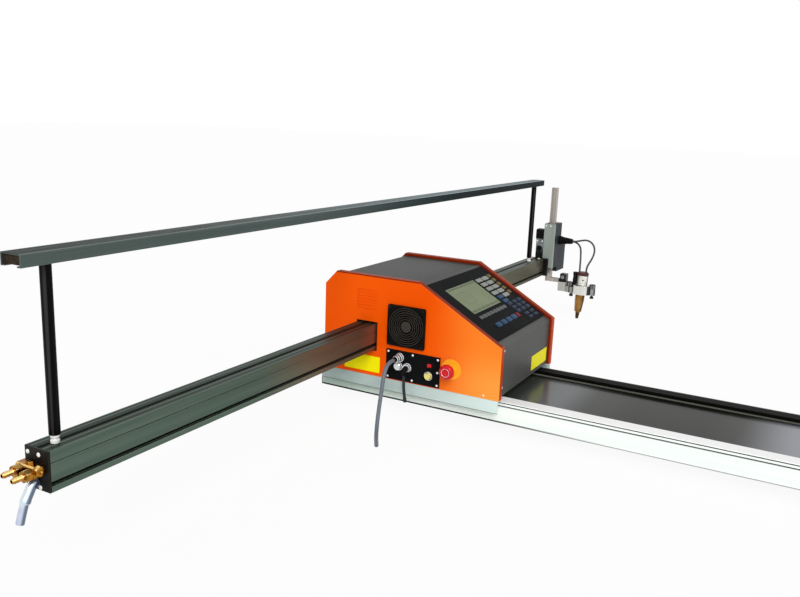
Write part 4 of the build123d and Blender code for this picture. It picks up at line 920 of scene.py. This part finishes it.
def socket_fittings():
    """Knurled socket rings with their plugs on the socket panel, and the panel's screws."""
    control, spare, signal = np.array([(230, 0, 64), (227, 0, 41), (252, 0, 41)])
    knurls = {"columns": 144, "waves": 24}
    ring = [(-0.5, 11.6), (1.6, 11.6), (2.2, 10.2), (8, 10.2), (9, 9.4)]
    rings = turned([control, spare, signal] - 3 * Y, -Y, ring, depth=0.25, **knurls)
    cap = [(-0.5, 8.6), (1.5, 8.6), (2.6, 7.2), (3, 3)]
    caps = turned(spare - 12 * Y, -Y, cap)
    shell = [(-0.5, 9), (8, 9), (9, 8), (10, 8), (11, 8.6), (16, 8.6), (17.5, 7.4), (18, 0)]
    shells = turned(control - 12 * Y, -Y, shell, depth=0.2, **knurls)
    piece("socket_rings", "carriage", CHROME, rings, caps, shells, replaces=["cable_sockets"])
    boot = [(0, 7), (3, 7), (5.5, 6.2), (8.5, 5.6)]
    boots = turned(control - 29.5 * Y, -Y, boot)
    bend = 8
    turn = np.linspace(0, 1, 12) * np.pi / 2
    path = spots(signal[0], -12 - bend * np.sin(turn), signal[2] - bend * (1 - np.cos(turn)))
    elbow = tube(np.vstack([signal - 11 * Y, path, (signal[0], -20, 25)]), 6.2, X)
    piece("plug_boots", "carriage", BLACK, boots, elbow)
    x, z = lattice((196, 266, 336), (9, 42, 75))
    rim = (x != 266) | (z != 42)
    screws("socket_panel_screws", "carriage", spots(x, -3, z)[rim], -Y, 3)


def switches():
    """The emergency stop's disc, collar and head, and the start button with its bezel."""
    stop, button = (372, 0, 57), (312, 0, 30)
    disc = [
        (-0.5, 26), (1.4, 26), (2, 25.2), (2, 15.4), (9.2, 15), (10, 14.2), (10, 10.6), (9.4, 10), (3.6, 10),
    ]
    lathe("stop_disc", "carriage", YELLOW, stop, -Y, disc, ["estop_base"], columns=72)
    head = [
        (10.5, 9), (18.6, 9.4), (19, 14.2), (20, 16.2), (23, 18.7), (26.5, 19.2), (30, 18.7), (32.6, 17),
        (34.4, 14), (35.2, 11), (34.9, 9.6), (34.9, 5), (35.4, 0),
    ]
    lathe("stop_head", "estop_head", RED, stop, -Y, head, ["estop_head"], columns=72)
    place = stop - 34.6 * Y
    lathe("stop_head_ring", "estop_head", CHROME, place, -Y, wire(10.2, 0.7), columns=72, shut=False)
    cap = [(-2, 8), (10.4, 8), (11.4, 7.6), (12, 6.6), (11.7, 3), (11.6, 0)]
    lathe("button_cap", "start_button", CREAM, button, -Y, cap, ["start_button"])
    bezel = [(3, 8.5), (3, 11), (4.2, 11.6), (5.4, 11.2), (5.8, 10.2), (5.4, 8.7), (3, 8.5)]
    lathe("button_bezel", "carriage", CHROME, button, -Y, bezel, columns=60, shut=False)


def plain_patches():
    """Plain yellow sheets stuck to the front plate and to the cover's right wall."""
    rows = [(0, -0.3), (0, 0.3), (0.2, 0.45)]
    front = plates((117, 0, 30.5), (106, 42), rows, 2, X, Z)
    right = plates((492, 304, 32.5), (118, 39), rows, 2, Y, Z)
    piece("yellow_sheets", "carriage", PATCH, front, right)


def louvre_blades():
    """Orange blades that close the louvres from inside, on both side plates."""
    level = 198 + 8 * (np.arange(7) - 3)
    rows = [(0, -0.4), (0, 0.4), (0.3, 0.5)]
    places = np.concatenate([spots(126, y, level) for y in (1.6, 388.4)])
    piece("louvre_blades", "carriage", ORANGE, plates(places, (60, 5), rows, 1, X, Z))


def cover_screws():
    """White screws along the near edge of the cover's right wall, and one low on the front plate."""
    screws("cover_screws", "carriage", [(492, 38, 116), (492, 38, 23)], X, 3.2)
    screws("front_plate_screw", "carriage", (460, 0, 8), -Y, 2.6)


# Beam.


def posts():
    """Round black posts under the channel, with white two-ring collars at their feet."""
    places = [(133, -948, 138.5), (133, 1186, 138.5)]
    post = [(14, 8.4), (15, 9), (303.5, 9)]
    lathe("round_posts", "beam", POST, places, Z, post)
    collar = [
        (0, 6.6), (0.6, 7.2), (5, 7.2), (5.8, 6.4), (6.2, 4.6), (8.8, 4.6), (9.2, 6.4), (10, 7.2),
        (14.2, 7.2), (15, 6.4),
    ]
    lathe("post_collars", "beam", SCREW, places, Z, collar, ["hanger_posts"], columns=48)


def channel_plugs():
    """Dark plugs that close both ends of the channel: rounded plates with a dished face."""
    low, high = (np.array(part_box("hanger_channel")) - HOST) / MM
    middle = (low + high) / 2
    wall, sink = 2.6, 7
    size = (high[0] - low[0] - 2 * wall, high[2] - low[2] - 2 * wall)
    rows = [(0, -4), (0, 3), (0.8, 4), (1.4, 4), (1.9, 2.6)]
    near = plates((middle[0], low[1] + sink, middle[2]), size, rows, 2, X, Z)
    far = plates((middle[0], high[1] - sink, middle[2]), size[::-1], rows, 2, Z, X)
    piece("channel_plugs", "beam", PLUG, near, far)


def gas_inlets():
    """Brass inlets: hexagon union nuts with barbed tails, a hexagon plug in the block's end and a boss."""
    places = [(110, -996, 106), (132, -996, 102.5)]
    nut = [(-0.5, 10.2), (0.6, 11.2), (9.8, 11.2), (11, 9.8)]
    nuts = turned(places, -Y, nut, columns=72, flats=18)
    tail = [(10, 5), (13, 5), (14, 4)]
    for start in (14, 19, 24):
        tail += [(start, 4), (start + 1, 5.2), (start + 5, 4)]
    tail += [(30.2, 3.8), (30.5, 3.4), (30.5, 2.4), (22, 2.4)]
    tails = turned(places, -Y, tail, columns=36)
    plug = [(-0.5, 8.6), (0.6, 9.4), (6, 9.4), (7, 8.2), (7, 3.4), (5, 3.2)]
    plugs = turned((141, -987.5, 108), X, plug, columns=72, flats=15.4)
    boss = [(-0.5, 5.6), (3.8, 5.6), (5, 4.8), (5, 2), (3.6, 1.6)]
    bosses = turned((125, -988, 116), Z, boss, columns=72, flats=10.4)
    piece("brass_inlets", "beam", BRASS, nuts, tails, plugs, bosses, replaces=["hose_tails"])


PIPE_KNOTS = [
    (126, -979, 83.5), (126, -987.5, 80.5), (126, -995.5, 68.4), (126, -1002.4, 56.6), (125.5, -1007.5, 42),
    (124, -1011.5, 25),
]


def supply_pipe():
    """The bent plated pipe below the inlets: a thick elbow from the end plate, a ferrule, then a thinner
    pipe with an open end. The line through its knots is the Catmull-Rom cubic."""
    knots = np.array(PIPE_KNOTS)
    last = len(knots) - 1
    share = np.linspace(0, last, 12 * last + 1)
    place = np.minimum(share.astype(int), last - 1)
    part = (share - place)[:, None]
    before, start, end, after = (knots[np.clip(place + step, 0, last)] for step in (-1, 0, 1, 2))
    line = 0.5 * (
        2 * start + (end - before) * part + (2 * before - 5 * start + 4 * end - after) * part**2
        + (3 * start - before - 3 * end + after) * part**3
    )
    radius = np.interp(share, [0, 2.5, 2.52, 2.9, 3, 3.1, last], [8, 8, 8.4, 8.4, 8.2, 6.7, 6.7])
    bore = turned(
        line[-1], line[-1] - line[-2], [(0, 6.7), (0, 5.2), (-10, 5.2), (-10, 0)], columns=18, shut=False,
    )
    pipe = tube(line, radius, X)[:, :-1]
    piece("bent_pipe", "beam", PIPE, pipe, bore, replaces=["supply_pipe"])


def beam_end_screws():
    """White screws of the beam's near end plate."""
    x, z = lattice((108.3, 133.3), (74.8, 129))
    screws("near_end_screws", "beam", spots(x, -979, z), -Y, 3.8)


def lifter_fittings():
    """Screws at the top of the lifter's front plate, on its bracket and on the beam's far end, the
    bracket's black bush, and the ribbed gland."""
    plate_screws = [(154, 1300, 266), (172, 1300, 266), (122.5, 1300, 204), (142, 1300, 204)]
    screws("lifter_screws", "beam", plate_screws, -Y, 3.2)
    screws("beam_far_screws", "beam", [(113, 1270, 138.5), (144, 1270, 138.5)], Z, 5)
    bush = [(-0.5, 10.5), (2.4, 10.5), (3.2, 9.8), (3.2, 6), (1, 5.6)]
    lathe("bracket_bush", "beam", BLACK, (132, 1300, 176), -Y, bush)
    ribs = [(0, 17), (9, 17), (10, 16)]
    for start in np.linspace(12, 46, 7):
        wide = 15 - 5 * (start - 10) / 42
        narrow = wide - 1.2
        ribs += [(start, narrow), (start + 0.8, wide), (start + 3.6, wide), (start + 4.4, narrow)]
    ribs += [(54, 8.8)]
    lathe("ribbed_gland", "beam", BLACK, (190, 1368, 206), X, ribs, ["hose_gland"], columns=48)


# Torch.


def torch_pieces():
    """The leaning torch's body, cap and nozzle, and the pieces of its clamp: knurled knobs over and under
    the lobes, an upright guide and the arm's bolt."""
    lean = np.radians(3.5)
    axis = np.array([np.sin(lean), 0, np.cos(lean)])
    foot = np.array([308, 1330, 97]) - 97 * axis
    body = [
        (12, 18.4), (46.6, 18.4), (47.4, 20.4), (48, 21), (54, 21), (54.6, 20.4), (56, 20.4), (56.6, 21),
        (83.6, 21), (84.6, 20.2),
    ]
    cap = [(84.6, 20.6), (85.4, 21.4), (93, 21.4), (95.6, 20.4), (97, 18)]
    nozzle = [
        (12, 17.2), (11, 17.8), (-17, 17.8), (-18, 17.4), (-58.6, 13.4), (-60, 12.6), (-61, 8.8), (-63, 8.4),
        (-87.6, 5.8), (-89, 4.8), (-89, 1.6), (-84, 1.2),
    ]
    for name, finish, profile, node in (
        ("torch_barrel", TORCH, body, "torch_body"),
        ("torch_top", TORCH_RED, cap, "torch_cap"),
        ("torch_tip", NOZZLE, nozzle, "torch_nozzle"),
    ):
        lathe(name, "torch_slide", finish, foot, axis, profile, [node], columns=64)
    pin = np.array(TOWARDS_LIGHT)
    place = foot + 68 * axis + 20.6 * pin
    hole = [(-1, 3), (0.5, 3)]
    lathe("torch_pin_hole", "torch_slide", BLACK, place, pin, hole, columns=24)
    low_places = [(267, 1326, -2), (349, 1326, -2)]
    low_knob = [(0, 6.2), (1, 7), (7, 7), (8, 6.2), (8, 4), (14.5, 4)]
    high_places = [(256.5, 1331, 35.5), (349, 1326, 35.5)]
    high_knob = [(0, 10.2), (1, 11), (16, 11), (18, 9.4), (18, 4), (16.6, 3.6)]
    guide = [(0, 9), (34, 9), (35, 8), (46, 8), (47, 9), (57, 9), (58.5, 7.6)]
    bolt = [(-0.5, 6.8), (5.2, 6.8), (6, 6), (6, 3.6), (2.6, 3.4)]
    knobs = [
        turned(low_places, Z, low_knob, columns=120, waves=20, depth=0.35),
        turned(high_places, Z, high_knob, columns=120, waves=20, depth=0.4),
    ]
    piece("thumb_screws", "torch_slide", KNOB, *knobs, replaces=["arm_fasteners"])
    lathe("torch_guide", "torch_slide", PLATE, (276, 1334.5, 35.5), Z, guide, columns=48)
    lathe("arm_bolt", "torch_slide", STEEL, (232, 1316, 70), -Y, bolt, columns=36)


# Camera, floor and light.
EYE = (1160.0, -1737.7, 653.0)
VIEW_ANGLES = (-0.4951, 0.2186, -0.0398)
LENS, SENSOR = 36.525, 36.0
WHITE = (1.0, 1.0, 1.0, 1.0)
FLOOR_HALF = 30.0
FLOOR_TONE = (0.9, 0.9, 0.9, 1.0)
FLOOR_ROUGHNESS = 0.9
FLOOR_GLOW = 0.93
SURROUND_LIGHT = 0.5

# Each lamp's direction, strength and angle in degrees.
LAMPS = {"key": ((0.45, -0.78, 0.62), 1.7, 30.0), "fill": ((0.8, -0.2, 0.35), 0.5, 60.0)}


def stand(name, data, side, back, place=(0.0, 0.0, 0.0)):
    """A new object with its x axis along side and its z axis along back, at a place in metres."""
    matrix = np.eye(4)
    matrix[:3] = np.column_stack([side, np.cross(back, side), back, place])
    made = linked(name, data)
    made.matrix_world = Matrix(matrix.tolist())
    return made


def camera():
    """The photograph's view: a yaw, a pitch down and a small roll."""
    yaw, pitch, roll = VIEW_ANGLES
    ahead = np.array([np.sin(yaw) * np.cos(pitch), np.cos(yaw) * np.cos(pitch), -np.sin(pitch)])
    right = np.array([np.cos(yaw), -np.sin(yaw), 0.0])
    side = np.cos(roll) * right + np.sin(roll) * np.cross(ahead, right)
    lens = bpy.data.cameras.new("camera")
    lens.lens = LENS
    lens.sensor_width = SENSOR
    bpy.context.scene.camera = stand("camera", lens, side, -ahead, at(*EYE))


def seen_white(tree):
    """1 for camera, glossy and transmission rays."""
    path = add(tree, "LightPath")
    straight = work(tree, "MAXIMUM", path["Is Camera Ray"], path["Is Glossy Ray"])
    return work(tree, "MAXIMUM", straight, path["Is Transmission Ray"])


def studio():
    """A white floor that keeps a faint shadow, a white surround and soft lamps."""
    scene = bpy.context.scene
    scene.view_settings.view_transform = "Standard"
    ground = CAD_BOX[0][2]
    mesh = bpy.data.meshes.new("floor")
    sides = FLOOR_HALF * np.array([(-1, -1), (1, -1), (1, 1), (-1, 1)])
    mesh.from_pydata([(x, y, ground) for x, y in sides.tolist()], [], [(0, 1, 2, 3)])
    floor = linked("floor", mesh)
    paint = bpy.data.materials.new("floor_white")
    paint.use_nodes = True
    tree = paint.node_tree
    shader = tree.nodes["Principled BSDF"]
    feed(shader, {"Base Color": FLOOR_TONE, "Roughness": FLOOR_ROUGHNESS, "Specular IOR Level": 0.0})
    glow = add(tree, "Emission", {"Color": WHITE, "Strength": 1.0})[0]
    share = work(tree, "MULTIPLY", seen_white(tree), FLOOR_GLOW)
    both = add(tree, "MixShader", {0: share, 1: shader.outputs[0], 2: glow})[0]
    feed(tree.nodes["Material Output"], {"Surface": both})
    mesh.materials.append(paint)
    world = bpy.data.worlds.new("surround")
    world.use_nodes = True
    scene.world = world
    tree = world.node_tree
    light = ramp(tree, seen_white(tree), 0.0, 1.0, SURROUND_LIGHT, 1.0)
    feed(tree.nodes["Background"], {"Color": WHITE, "Strength": light})
    for name, (direction, strength, angle) in LAMPS.items():
        lamp = bpy.data.lights.new(name, "SUN")
        lamp.energy = strength
        lamp.angle = np.radians(angle)
        back = unit(direction)
        stand(name, lamp, cross_axes(back)[0], back)


for build in (
    camera, studio, dress_solids, cords, panel_keys, fan_grille, socket_fittings, switches, plain_patches,
    louvre_blades, cover_screws, posts, channel_plugs, gas_inlets, supply_pipe, beam_end_screws,
    lifter_fittings, torch_pieces,
):
    build()
